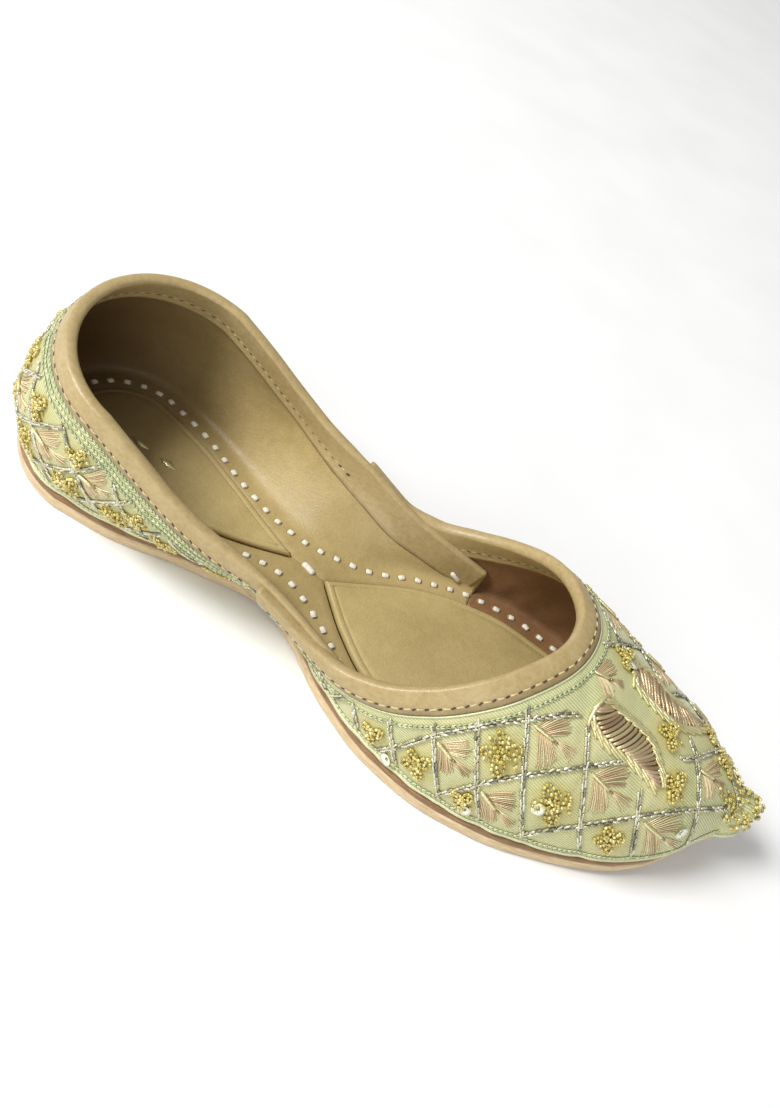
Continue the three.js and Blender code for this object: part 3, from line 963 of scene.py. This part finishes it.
def binding(name, skin, path, outside, inside, thin, look):
    """Leather folded over the edge that path follows; thin scales its height along the path."""
    thin = thin[:, None]

    def outer(depth, height):
        line = shifted(path, depth)
        place, out = skin.frame(line[:, 0], line[:, 1])
        return place + out * (SILK_PROUD + 0.1 + height * thin) * MM

    def inner(depth, height):
        line = shifted(path, depth)
        place, out = skin.frame(line[:, 0], line[:, 1], WALL)
        return place - out * height * thin * MM

    outer_leg = [
        (outside, -0.5), (outside, 0.25), (outside - 0.35, 0.6), (outside * 0.55, 0.7), (0.3, 0.7),
    ]
    inner_leg = [
        (0.3, 0.7), (inside * 0.5, 0.6), (inside - 1.6, 0.55), (inside - 1.2, 0.72),
        (inside - 0.4, 0.7), (inside, 0.35), (inside, -0.6),
    ]
    over, under = outer(*outer_leg[-1]), inner(*inner_leg[0])
    rise = unit(outer(0, 0) - outer(2, 0))
    arc = [
        (over + under) / 2 + (over - under) / 2 * math.cos(t) + rise * 1.15 * MM * math.sin(t)
        for t in np.radians((24, 52, 76, 104, 128, 156))
    ]
    rows = [outer(*leg) for leg in outer_leg] + arc + [inner(*leg) for leg in inner_leg]
    points = np.stack(rows, 1)
    number, around = points.shape[:2]
    edge = np.zeros(around)
    edge[[0, 1, -1, -2]] = 1
    edge[[2, -3]] = 0.5
    faces = ring_faces(number, around, True)
    ends = cap_faces(around)
    faces = np.concatenate([faces, ends, ends[:, ::-1] + (number - 1) * around])
    marks = {"edge": np.tile(edge, number)}
    return piece(name, points.reshape(-1, 3), faces, look, "binding_leather", marks)


def vamp_rear_path(side):
    """The slanted rear edge, with the vamp on its right."""
    share = np.linspace(0, 1, 30)
    s = rear_slant(np.full(30, float(VAMP_BACK)), share)
    rim = vamp_rim_girth(np.array([VAMP_BACK + 0.01]))[0]
    girth = side * (rim + (vamp_girth(s) - rim) * (1 - share))
    path = np.stack([s, girth], 1)
    return path if side < 0 else path[::-1]


def quarter_rim_path():
    p = np.linspace(-QUARTER_REACH, QUARTER_REACH, 300)
    return np.stack([p, quarter_rim(p)], 1)


# --- Stitching ---------------------------------------------------------------------------------

def margin_point(s, y, inset=0.0):
    return on_last(s, y, UPPER_BASE + FLANGE)


# The flat margin turned in over the sole, under pattern coordinates s and y.
MARGIN = Skin(margin_point, 1)


def lining_of(skin):
    """The lining side of a skin, seen from inside the shoe."""
    return Skin(skin.point, -skin.facing, inset=WALL)


def running_stitch(threads, stitch_shadows, skin, line, height, thread=2.6, radius=0.27):
    """Fine tan stitches along a line, each going down through a hole shown as a small dark mark of
    painted shade.
    """
    points, way = along_line(line, STITCH_PITCH, 1.5)
    lean = turned(way, random.normal(0, 0.08, len(points)))
    half = lean * thread / 2
    shades = random.uniform(0, 1, len(points))
    threads.lay_on(skin, points, half, radius, height, shades, CORD, 0.6)
    # Painted shade: a small dark mark where each stitch goes down into its hole.
    middle = points + way * STITCH_PITCH / 2
    dark = turned(way, random.normal(0.25, 0.1, len(points))) * 0.62
    stitch_shadows.lay_on(skin, middle, dark, 0.3, height - 0.06, 0, ROD, 0.5)


def flange_line(side, start, end):
    """The stitch row at one inset from the edge of the sole."""
    s = np.linspace(0.3, PATTERN_FRONT, 500)
    line = shifted(np.stack([s, sole_half(s)], 1), FLANGE_STITCH_INSET)
    keep = (line[:, 0] > start) & (line[:, 0] < end) & (line[:, 1] > 0.2)
    return line[keep] * (1, side)


def flange_stitches(threads, stitch_shadows):
    """Broad square stitches, each over a darker patch of painted shade where it sinks into the leather.
    """
    for side in (-1, 1):
        points, way = along_line(flange_line(side, 3, 238), FLANGE_STITCH_PITCH, 2.0)
        half = turned(way, random.normal(0, 0.12, len(points)))
        half = half * random.uniform(0.85, 1.1, (len(points), 1))
        shades = random.uniform(0, 1, len(points))
        threads.lay_on(MARGIN, points, half, FLANGE_STITCH_RADIUS, 0.12, shades, PATCH, 0.5)
        # Painted shade: a dark flat patch under each stitch, where it sinks into the leather.
        stitch_shadows.lay_on(MARGIN, points, way * DENT_SHADOW_HALF, DENT_SHADOW_RADIUS, -0.02, 0, ROD, 0.12)
    threads.lay(MARGIN, *WAIST_STITCH, WAIST_STITCH_RADIUS, 0.3, 1, CORD, 0.6)


def leather_stitches(cream, tan, black, shade):
    threads, fine, stitch_shadows, dent_shadows = Heap(8), Heap(6), Heap(6), Heap(8)
    for skin, path in ((VAMP, RIM_PATH), (QUARTER, quarter_rim_path())):
        if skin is QUARTER:
            path = path[np.abs(path[:, 0]) < 116]
        running_stitch(fine, stitch_shadows, skin, shifted(path, BINDING_OUTSIDE - 1.7), 0.82)
        running_stitch(fine, stitch_shadows, lining_of(skin), shifted(path, 6.0), 0.58, 1.8, 0.2)
    flange_stitches(threads, dent_shadows)
    inside = lining_of(QUARTER)
    for side in (-1, 1):
        end = side * (QUARTER_REACH - 6)
        threads.lay(inside, (end, 3.2), (end - side * 3.6, 5.4), 0.8, 0.55, 1, CORD, 0.6)
    threads.build("seam_stitches", cream, "stitch_thread")
    fine.build("binding_stitches", tan, "stitch_thread")
    # The dark marks at the stitch holes are painted shade.
    stitch_shadows.build("stitch_hole_shadows", black, "stitch_thread")
    # The darker patches under the flange stitches are painted shade.
    dent_shadows.build("stitch_dent_shadows", shade, "stitch_thread")


# --- Embroidery --------------------------------------------------------------------------------

LEAF_MIDDLE = -4.75
LEAF_AXIS = [(191, 9.2), (198, 9.7), (206, 8.9), (212.5, 10.2), (218.6, 13.2)]
LEAF_HALF = [(0, 0.2), (0.03, 2.0), (0.1, 3.4), (0.3, 4.2), (0.55, 3.8), (0.8, 2.2), (1, 0.2)]
LEAF_SHIFT = {-1: 0.0, 1: 5.5}
# Room round the leaves: from their middle lines, and the stations and half width between them.
LATTICE_CLEAR = (5.6, 188, 220, 9)
MOTIF_CLEAR = (8.5, 184, VAMP_TIP, 9.5)
CENTRE_FANS = [((184.5, -7.5), (198.5, -2.0)), ((226.0, -6.0), (241.0, -3.5))]
CENTRE_FLOWERS = [
    ((193.0, 6.5), 0.8), ((214.5, -3.8), 0.85), ((222.6, -14.6), 0.8), ((236.0, 4.5), 0.9),
    ((228.0, 9.5), 0.7),
]
VAMP_SEQUINS = [(154.6, -68.5), (179.0, -61.9), (193.8, -44.4), (232.2, -22.0), (195.0, 5.4)]
QUARTER_SEQUINS = (-78, -44, 44, 78)
TOE_STRINGS = ((238, 5), (242, 4), (244.5, 7), (247, 4), (249, 7), (250.5, 5), (252, 6))
TOE_HEAPS = (243, 246, 249, 251.5, 252.8)
# Radius and height of the points round a sequin's section.
SEQUIN_PROFILE = [(0.55, 0.0), (1.2, 0.12), (1.9, 0.42), (1.95, 0.5), (1.2, 0.24), (0.55, 0.12)]
PETAL_BEADS = 12
PETAL_MIDDLE = 3.1
PETAL_LENGTH = 2.2
PETAL_WIDTH = 1.6
# Of each lobe of a fan: its first and last direction in degrees from the middle, and its threads.
FAN_LOBES = [(-54, -20, 10), (-9, 9, 6), (20, 54, 10)]
COUCHED_PITCH = 2.25
COUCHED_HALF = 1.12
COUCHED_ROW = 0.37
COUCHED_SHADES = [0.15, 0.4, 0.6, 0.75, 0.9, 1.0]
CHAIN_PITCH = 1.55
LEAF_ROWS = 24


def leaf_axis(side, share):
    """The middle line of one of the two leaves on the toe, from its head to its tip."""
    s = np.interp(share, np.linspace(0, 1, len(LEAF_AXIS)), [row[0] for row in LEAF_AXIS])
    return np.stack([s + LEAF_SHIFT[side], LEAF_MIDDLE + side * curve(LEAF_AXIS)(s)], 1)


class Motifs:
    """The heaps of thread, rods and beads that one skin's embroidery is laid in."""

    def __init__(self, skin):
        self.skin = skin
        self.lattice, self.fans, self.beads = Heap(6), Heap(4), Heap(6)
        self.leaves, self.chains, self.sequins = Heap(8), Heap(4), []
        self.flowers = []

    def couch(self, line):
        """Two rows of short metal lengths laid side by side along a pattern line."""
        for row in (-1, 1):
            points, way = along_line(line, COUCHED_PITCH, 0.6 + 0.55 * row)
            aside = COUCHED_ROW * row + random.normal(0, 0.07, (len(points), 1))
            points = points + aside_of(way) * aside
            half = turned(way, random.normal(0.12 * row, 0.1, len(points))) * COUCHED_HALF
            shades = random.choice(COUCHED_SHADES, len(points))
            heights = 0.38 + random.uniform(0, 0.18, len(points))
            self.lattice.lay_on(self.skin, points, half, LATTICE_RADIUS, heights, shades)

    def chain(self, line, width, shade):
        """Chain stitch: small open links, each starting inside the last."""
        points, way = along_line(line, CHAIN_PITCH)
        shades = shades_near(shade, 0.2, len(points))
        for row in (-1, 1):
            aside = aside_of(way) * row * width
            ends = points + way * 1.5 + aside
            self.chains.lay(self.skin, points + aside * 0.15, ends, 0.27, 0.3, shades, ROD)

    def piping(self, line, radius, height):
        """One long laid cord."""
        points, _ = along_line(line, 1.2)
        paths, outs = self.skin.raised(points[:, 0], points[:, 1], height)
        radii = np.full((1, len(points)), radius)
        self.chains.tubes(paths[None], outs[None], radii, [0.85])

    def flower(self, place, size, way):
        """Three or four looped petals of seed beads round a heaped middle."""
        self.flowers.append((place, size))
        petals = 4 if size > 0.85 else 3
        first = math.atan2(way[1], way[0]) + random.normal(0, 0.15)
        spread = 2 * math.pi / (petals + 0.6)
        for petal in range(petals):
            turn = first + math.pi + (petal - (petals - 1) / 2) * spread
            self.petal(np.array(place), turn, size)
        self.scatter(place, 1.6 * size, int(10 * size), 1.0)
        self.scatter(place, 5.0 * size, int(9 * size), 0.5)

    def petal(self, place, turn, size):
        """A loop of seed beads that starts at a flower's middle, with three beads inside it."""
        number = PETAL_BEADS
        round_it = np.linspace(0, 2 * math.pi, number + 1)[:-1] + random.normal(0, 0.08, number)
        cos, sin = np.cos(round_it), np.sin(round_it)
        loop = np.stack([PETAL_MIDDLE + PETAL_LENGTH * cos, PETAL_WIDTH * sin], 1) * size
        flow = np.stack([-PETAL_LENGTH * sin, PETAL_WIDTH * cos], 1)
        points = place + turned(loop, turn)
        half = unit(turned(flow, turn + random.normal(0, 0.4, number))) * BEAD_HALF
        shades = shades_near(0.5, 0.3, number)
        heights = 0.45 + random.uniform(0, 0.35, number)
        self.beads.lay_on(self.skin, points, half, BEAD_RADIUS, heights, shades, BEAD)
        filling = place + turned(np.array([[1.9, 0.3], [3.0, -0.4], [4.0, 0.2]]) * size, turn)
        half = turned(np.array([[0.42, 0.1], [0.4, -0.15], [0.35, 0.2]]), turn)
        self.beads.lay_on(self.skin, filling, half, BEAD_RADIUS, 0.75, (0.3, 0.8, 0.5), BEAD)

    def scatter(self, place, radius, number, height):
        """Loose beads heaped round a place."""
        away = random.uniform(0, 1, number) ** 0.5 * radius
        turn = random.uniform(0, 2 * math.pi, number)
        points = np.array(place) + np.stack([np.cos(turn), np.sin(turn)], 1) * away[:, None]
        way = random.uniform(0, 2 * math.pi, number)
        half = np.stack([np.cos(way), np.sin(way)], 1) * 0.43
        heights = height + random.uniform(-0.25, 0.3, number)
        shades = shades_near(0.5, 0.3, number)
        self.beads.lay_on(self.skin, points, half, BEAD_RADIUS, heights, shades, BEAD)

    def fan(self, apex, toe):
        """A stitched fan of three lobes with one bright rod down its middle."""
        apex, toe = np.array(apex, float), np.array(toe, float)
        long = np.linalg.norm(toe - apex)
        way = (toe - apex) / long
        start = apex + way * 0.12 * long
        long = long * 0.86
        turns = np.radians(np.concatenate([np.linspace(*lobe) for lobe in FAN_LOBES]))
        side = np.abs(turns) > 0.25
        reach = np.where(side, 0.64, 0.8) * long * (1 - 0.25 * np.abs(np.abs(turns) - 0.63) * side)
        reach = reach + random.normal(0, 0.35, len(turns))
        root = np.where(side, 0.30 - 0.42 * (np.abs(turns) - 0.35), 0.42) * long
        starts = start + way * root[:, None] * 0.9
        ends = start + turned(np.broadcast_to(way, (len(turns), 2)), turns) * reach[:, None]
        shades = shades_near(0.5, 0.28, len(turns))
        heights = 0.2 + random.uniform(0, 0.12, len(turns))
        self.fans.lay(self.skin, starts, ends, FAN_THREAD_RADIUS, heights, shades, THREAD, 1.0, 0.03)
        tip = start + way * 0.36 * long
        self.leaves.lay(self.skin, start - way * 0.3, tip, 0.48, 0.75, 0.9, ROD)
        self.leaves.lay(self.skin, tip + way * 0.4, tip + way * 1.4, 0.4, 0.5, 0.15, ROD)

    def leaf(self, side):
        """A curved leaf: slanting rows of coiled cord inside an outline of overlapping lengths."""
        share = 1 - np.cos(np.linspace(0, QUARTER_TURN, 160))
        axis = leaf_axis(side, share)
        way = unit(np.gradient(axis, axis=0))
        half = curve(LEAF_HALF)(share)[:, None]
        edges = [axis + aside_of(way) * half * k for k in (-1, 1)]
        for row in np.linspace(-0.11, 0.84, LEAF_ROWS):
            low, high = np.searchsorted(share, (max(row, 0.004), min(row + 0.15, 0.99)))
            first, second = (low, high) if side < 0 else (high, low)
            start, end = edges[1][first], edges[0][second]
            shade = shades_near(0.42, 0.14)
            self.leaves.lay(self.skin, start, end, 0.56, 0.95, shade, CORD, 1.0, 0.05 * side)
        for k, edge in zip((-1, 1), edges):
            for outward, height in ((0.35, 0.75), (1.25, 0.5)):
                line = edge + aside_of(way) * k * outward
                points, flow = along_line(line, 2.9, 0.4 + outward)
                half_rod = turned(flow, np.full(len(points), -0.24 * k)) * 2.5
                shades = shades_near(0.85, 0.12, len(points))
                self.leaves.lay_on(self.skin, points, half_rod, 0.5, height, shades, CORD)

    def sequin(self, place):
        self.sequins.append(self.skin.raised(np.array(place[0]), np.array(place[1]), 0.55))

    def build(self, name, looks):
        self.lattice.build(name + "_lattice", looks["lattice"], "metal_thread")
        self.fans.build(name + "_fans", looks["fans"], "metal_thread")
        self.leaves.build(name + "_cords", looks["cords"], "metal_thread")
        self.chains.build(name + "_chains", looks["chains"], "metal_thread")
        self.beads.build(name + "_beads", looks["beads"], "glass_beads")
        sequin_piece(name + "_sequins", self.sequins, looks["pearl"])


def sequin_piece(name, places, look):
    """Small cupped discs with a hole, each tipped a little on the cloth."""
    profile, around = SEQUIN_PROFILE, 20
    turn = np.arange(around) * 2 * math.pi / around
    vertices, faces = [], []
    for place, out in places:
        out = unit(out + random.normal(0, 0.14, 3))
        first = unit(np.cross(out, (0.3, 0.2, 1.0)))
        second = np.cross(out, first)
        for step in range(around):
            arm = first * math.cos(turn[step]) + second * math.sin(turn[step])
            for radius, height in profile:
                vertices.append(place + (arm * radius + out * height) * MM)
    ring = ring_faces(around + 1, len(profile)) % (around * len(profile))
    for number in range(len(places)):
        faces.append(ring + number * around * len(profile))
    piece(name, np.array(vertices), np.concatenate(faces), look, "glass_beads")


def on_vamp(points, margin, seam=3.4):
    """Whether pattern points lie on open silk, clear of the binding, the seam and the nose."""
    s, g = points[..., 0], points[..., 1]
    rim = np.interp(s, RIM_PATH[:RIM_POINTS, 0], np.abs(RIM_PATH[:RIM_POINTS, 1]))
    below = (s > THROAT) | (np.abs(g) > rim)
    clear = from_path(points, RIM_PATH) > BINDING_OUTSIDE + margin
    rear = s > VAMP_BACK + VAMP_REAR_SLANT + 5
    return below & clear & rear & (np.abs(g) < vamp_girth(s) - seam) & (s < PATTERN_FRONT)


def leaf_line(side):
    """The same middle line in straight runs, which the lattice and the beads keep clear of."""
    along = np.linspace(0, len(LEAF_AXIS) - 1, 30)
    s, away = [np.interp(along, range(len(LEAF_AXIS)), column) for column in zip(*LEAF_AXIS)]
    return np.stack([s + LEAF_SHIFT[side], LEAF_MIDDLE + side * away], 1)


LEAF_LINES = np.concatenate([leaf_line(side) for side in (-1, 1)])


def near_leaves(points, room, start, end, half):
    """Whether pattern points come close to a leaf or lie between the two."""
    s, g = points[..., 0], points[..., 1]
    between = (s > start) & (s < end) & (np.abs(g - LEAF_MIDDLE) < half)
    return (from_path(points, LEAF_LINES) < room) | between


def runs(line, keep):
    """The stretches of a line that are kept."""
    edges = np.flatnonzero(np.diff(np.concatenate([[0], keep.astype(int), [0]])))
    found = [line[a:b] for a, b in zip(edges[::2], edges[1::2]) if b - a > 8]
    return [run for run in found if np.linalg.norm(run[-1] - run[0]) > SHORTEST_RUN]


def crossing(rib, rail):
    """How far below the pattern's middle a rib meets a rail; negative if they never do."""
    reach = np.linspace(0, PATTERN_REACH, 400)
    if rail < rib:
        return rail - rib
    return float(np.interp(rail - rib, RIB_LEAN * reach + rail_run(reach), reach))


def vamp_cells(side):
    """Corners of the lattice's cells on one side, heel corner first, with their parity."""
    for i in range(len(RIBS) - 1):
        for j in range(len(RAILS) - 1):
            if RAILS[j] < RIBS[i + 1]:
                continue
            corners = []
            for rib, rail in ((i, j), (i + 1, j), (i + 1, j + 1), (i, j + 1)):
                reach = crossing(RIBS[rib], RAILS[rail])
                corners.append((RIBS[rib] + RIB_LEAN * reach, PATTERN_MIDDLE + side * reach))
            yield np.array(corners), (i - j) % 2


def fill_cell(motifs, corners, fan, inside, blocked):
    """Puts a fan in a whole cell and a bead flower in the others, smaller where a cell is cut."""
    u, v = np.meshgrid(np.linspace(0.04, 0.96, 7), np.linspace(0.04, 0.96, 7))
    weights = np.stack([(1 - u) * (1 - v), u * (1 - v), u * v, (1 - u) * v], -1)
    samples = weights @ corners
    open_silk = inside(samples)
    share = open_silk.mean()
    if share < 0.3:
        return
    place = samples[open_silk].mean(0)
    if blocked(place):
        return
    way = unit(corners[2] - corners[0])
    if fan and share > 0.72:
        motifs.fan(corners[0], corners[2])
    else:
        motifs.flower(tuple(place), 1.1 if share > 0.8 else 0.6 + 0.4 * share, way)


def embroider_vamp():
    motifs = Motifs(VAMP)
    reach = np.linspace(0, PATTERN_REACH, 500)
    for side in (-1, 1):
        across = PATTERN_MIDDLE + side * reach
        lines = [np.stack([rib + RIB_LEAN * reach, across], 1) for rib in RIBS]
        lines += [np.stack([rail - rail_run(reach), across], 1) for rail in RAILS]
        for line in lines:
            keep = on_vamp(line, 2.6) & ~near_leaves(line, *LATTICE_CLEAR)
            for run in runs(line, keep):
                motifs.couch(run)
        for corners, odd in vamp_cells(side):
            fill_cell(
                motifs, corners, odd, lambda at: on_vamp(at, 4.6, 3.0),
                lambda place: near_leaves(place, *MOTIF_CLEAR),
            )
        motifs.leaf(side)
        seam = np.linspace(VAMP_BACK + VAMP_REAR_SLANT + 0.5, VAMP_TIP - 0.1, 400)
        edge = np.stack([seam, side * (vamp_girth(seam) - 0.5)], 1)
        motifs.piping(edge, 0.72, 0.1)
        motifs.chain((edge - (0, side * 1.9))[:-16], 0.5, 0.7)
    for apex, toe in CENTRE_FANS:
        motifs.fan(apex, toe)
    for place, size in CENTRE_FLOWERS:
        motifs.flower(place, size, (1.0, 0.0))
    motifs.piping(shifted(RIM_PATH, BINDING_OUTSIDE + 0.5), 0.34, 0.15)
    motifs.chain(shifted(RIM_PATH, BINDING_OUTSIDE + 3.0), 0.42, 0.35)
    for place in VAMP_SEQUINS:
        motifs.sequin(place)
        if abs(place[1]) > 20:
            motifs.sequin((place[0] - 3, -place[1] * 0.96))
    toe_beads(motifs)
    return motifs


def toe_beads(motifs):
    """Beads heaped on the nib of the toe and strung down both sides of it."""
    for side in (-1, 1):
        for s, g in TOE_STRINGS:
            motifs.scatter((s, side * g), 2.4, 10, 0.8)
    for s in TOE_HEAPS:
        motifs.scatter((s, 0), 2.6, 10, 1.0)


def embroider_quarter():
    motifs = Motifs(QUARTER)
    reach = QUARTER_REACH - 50

    def inside(points, margin=13.0):
        p, v = points[..., 0], points[..., 1]
        return (v < quarter_rim(p) - margin) & (v > 3.6) & (np.abs(p) < reach)

    v = np.linspace(0, 48, 200)
    for number in range(-14, 15):
        for way in (-1, 1):
            line = np.stack([number * QUARTER_CELL + way * QUARTER_SLOPE * v, v], 1)
            for run in runs(line, inside(line, 12.0)):
                motifs.couch(run)
    height = QUARTER_CELL / (2 * QUARTER_SLOPE)
    for row in range(1, 5):
        for number in range(-8, 9):
            p = (number + 0.5 * ((row + 1) % 2)) * QUARTER_CELL
            way = 1 if p >= 0 else -1
            corners = np.array([
                (p - way * QUARTER_CELL / 2, row * height), (p, (row - 1) * height),
                (p + way * QUARTER_CELL / 2, row * height), (p, (row + 1) * height),
            ])
            fill_cell(motifs, corners, row % 2 == 0, inside, lambda place: False)
    path = quarter_rim_path()
    path = path[np.abs(path[:, 0]) < reach + 6]
    for distance, shade in ((0.9, 0.35), (2.7, 0.55), (4.5, 0.3)):
        motifs.chain(shifted(path, BINDING_OUTSIDE + distance), 0.42, shade)
    p = np.linspace(-reach - 8, reach + 8, 500)
    motifs.piping(np.stack([p, np.full_like(p, 0.7)], 1), 0.72, 0.1)
    motifs.chain(np.stack([p, np.full_like(p, 2.5)], 1), 0.5, 0.7)
    for p in QUARTER_SEQUINS:
        motifs.sequin((p, 6.0))
    return motifs


def foil_marks(look):
    """A row of plain foil lozenges pressed into the heel pad."""
    mark = Heap(4)
    for station in FOIL_STATIONS:
        s = station + np.array([[-FOIL_HALF_LENGTH, 0, FOIL_HALF_LENGTH]])
        place = on_last(s, 0, UPPER_BASE + PAD + HEEL_PAD_CROWN + 0.02)
        out = np.broadcast_to((0.0, 0.0, 1.0), place.shape)
        mark.tubes(place, out, np.array([[0.15, FOIL_HALF_WIDTH, 0.15]]), [0.85], 0.08)
    mark.build("heel_pad_marks", look, "metal_thread")


# --- Stage, light and camera -------------------------------------------------------------------

# The camera's target and distance are in millimetres, its focal length and offset in pixels.
CAMERA_TARGET = (125, 0, 20)
CAMERA_AZIMUTH = 4.7
CAMERA_ELEVATION = 47.4
CAMERA_ROLL = 30.9
CAMERA_DISTANCE = 282
CAMERA_FOCAL = 953
CAMERA_OFFSET = (-10.5, 31.8)
IMAGE_HEIGHT = 1108
FLOOR_REACH = 3.0
SKY_STRENGTH = 0.34
# Place and size in metres, power in watts.
KEY_LIGHT = ((-1.5, -0.65, 1.75), 0.9, 60)
FILL_LIGHT = ((0.85, -2.0, 1.0), 1.4, 20)


def camera():
    azimuth, elevation, roll = np.radians((CAMERA_AZIMUTH, CAMERA_ELEVATION, CAMERA_ROLL))
    back = Vector((
        math.sin(azimuth) * math.cos(elevation), -math.cos(azimuth) * math.cos(elevation),
        math.sin(elevation),
    ))
    level = Vector((math.cos(azimuth), math.sin(azimuth), 0))
    upright = back.cross(level)
    right = level * math.cos(roll) + upright * math.sin(roll)
    up = upright * math.cos(roll) - level * math.sin(roll)
    s, y, z = CAMERA_TARGET
    target = Vector((s + X_HEEL, y + Y_MIDDLE, z)) * MM
    data = bpy.data.cameras.new("camera")
    data.lens = CAMERA_FOCAL * data.sensor_width / IMAGE_HEIGHT
    data.shift_x = -CAMERA_OFFSET[0] / IMAGE_HEIGHT
    data.shift_y = CAMERA_OFFSET[1] / IMAGE_HEIGHT
    data.clip_start = 0.01
    obj = added("camera", data)
    turn = Matrix((right, up, back)).transposed().to_4x4()
    obj.matrix_world = Matrix.Translation(target + back * CAMERA_DISTANCE * MM) @ turn
    bpy.context.scene.camera = obj


def soft_box(name, place, size, power):
    """A square soft light that faces the shoe."""
    data = bpy.data.lights.new(name, "AREA")
    data.size = size
    data.energy = power
    obj = added(name, data)
    obj.location = place
    obj.rotation_euler = (-Vector(place)).to_track_quat("-Z", "Y").to_euler()


def stage():
    """A pale flat floor and even studio light, brightest from above on the heel's side."""
    look = Look("studio_floor", {"Specular IOR Level": 0.1})
    grain = look.noise(60, 2)
    colour = look.colours(grain, [(0.3, (0.88, 0.88, 0.88)), (0.7, (0.92, 0.92, 0.92))])
    look.finish(colour, look.span(grain, 0.85, 0.95), (grain, 0.02))
    mesh = bpy.data.meshes.new("floor")
    corners = [(x * FLOOR_REACH, y * FLOOR_REACH, 0) for x, y in ((-1, -1), (1, -1), (1, 1), (-1, 1))]
    mesh.from_pydata(corners, [], [(0, 1, 2, 3)])
    mesh.materials.append(look.material)
    floor = added("floor", mesh)
    world = bpy.data.worlds.new("studio")
    world.use_nodes = True
    sky = world.node_tree.nodes["Background"]
    sky.inputs["Color"].default_value = (1.0, 0.99, 0.97, 1)
    sky.inputs["Strength"].default_value = SKY_STRENGTH
    bpy.context.scene.world = world
    bpy.context.scene.view_settings.view_transform = "Standard"
    soft_box("key", *KEY_LIGHT)
    soft_box("fill", *FILL_LIGHT)


# --- The shoe ----------------------------------------------------------------------------------

def main():
    tan = binding_leather()
    lining = smooth_leather("lining_leather", (0.37, 0.275, 0.11), (0.49, 0.375, 0.165), 0.44)
    brown = smooth_leather("vamp_lining_leather", (0.19, 0.095, 0.04), (0.30, 0.165, 0.075), 0.46)
    insole = smooth_leather("insole_leather", (0.42, 0.32, 0.13), (0.53, 0.415, 0.185), 0.47)
    silk = silk_cloth()
    looks = {
        "lattice": metal_thread("lattice_thread", [
            (0.0, (0.13, 0.12, 0.08)), (0.3, (0.38, 0.37, 0.27)), (0.65, (0.60, 0.56, 0.36)),
            (1.0, (0.76, 0.75, 0.62)),
        ], 0.3, 0.6),
        "fans": metal_thread("fan_thread", [
            (0.0, (0.46, 0.31, 0.16)), (0.5, (0.74, 0.58, 0.35)), (1.0, (0.88, 0.80, 0.50)),
        ], 0.42, 0.35),
        "cords": metal_thread("cord_thread", [
            (0.0, (0.22, 0.12, 0.05)), (0.42, (0.66, 0.50, 0.31)), (0.75, (0.76, 0.69, 0.36)),
            (1.0, (0.86, 0.82, 0.48)),
        ], 0.3),
        "chains": metal_thread("chain_thread", [
            (0.0, (0.40, 0.45, 0.24)), (0.5, (0.58, 0.62, 0.38)), (1.0, (0.76, 0.77, 0.48)),
        ], 0.45, 0.3),
        "beads": bead_glass(),
        "pearl": pearly_disc(),
    }
    cream = cotton_thread("stitch_thread", (0.62, 0.58, 0.44), (0.86, 0.84, 0.72))
    fine = cotton_thread("fine_thread", (0.40, 0.31, 0.13), (0.66, 0.57, 0.31))
    black = cotton_thread("stitch_shadow", (0.03, 0.02, 0.01), (0.08, 0.055, 0.03))
    # The colour of the painted shade under the flange stitches.
    dent_shadow = cotton_thread("stitch_dent_shadow", (0.20, 0.14, 0.06), (0.32, 0.23, 0.11))
    soles(
        sole_edge("sole_leather", (0.48, 0.34, 0.18), (0.74, 0.59, 0.37), 0.12),
        sole_edge("midsole_leather", (0.15, 0.08, 0.035), (0.36, 0.21, 0.10), 0.1),
    )
    insoles(insole)
    foil_marks(looks["cords"])
    vamp = embroider_vamp()
    quarter = embroider_quarter()
    vamp_silk(silk, vamp.flowers)
    quarter_silk(silk, quarter.flowers)
    vamp_lining(brown)
    quarter_lining(lining)
    rim = quarter_rim_path()
    under = 1 - 0.85 * smooth((np.abs(rim[:, 0]) - FLATTEN_START) / FLATTEN_RUN)
    binding("quarter_binding", QUARTER, rim, BINDING_OUTSIDE, BINDING_INSIDE, under, tan)
    whole = np.ones(len(RIM_PATH))
    binding("vamp_binding", VAMP, RIM_PATH, BINDING_OUTSIDE, BINDING_INSIDE, whole, tan)
    for side, name in ((-1, "outer"), (1, "inner")):
        path = vamp_rear_path(side)
        binding("vamp_rear_" + name, VAMP, path, 4.0, 3.5, np.full(len(path), 0.9), tan)
    leather_stitches(cream, fine, black, dent_shadow)
    vamp.build("vamp", looks)
    quarter.build("quarter", looks)
    camera()
    stage()


main()
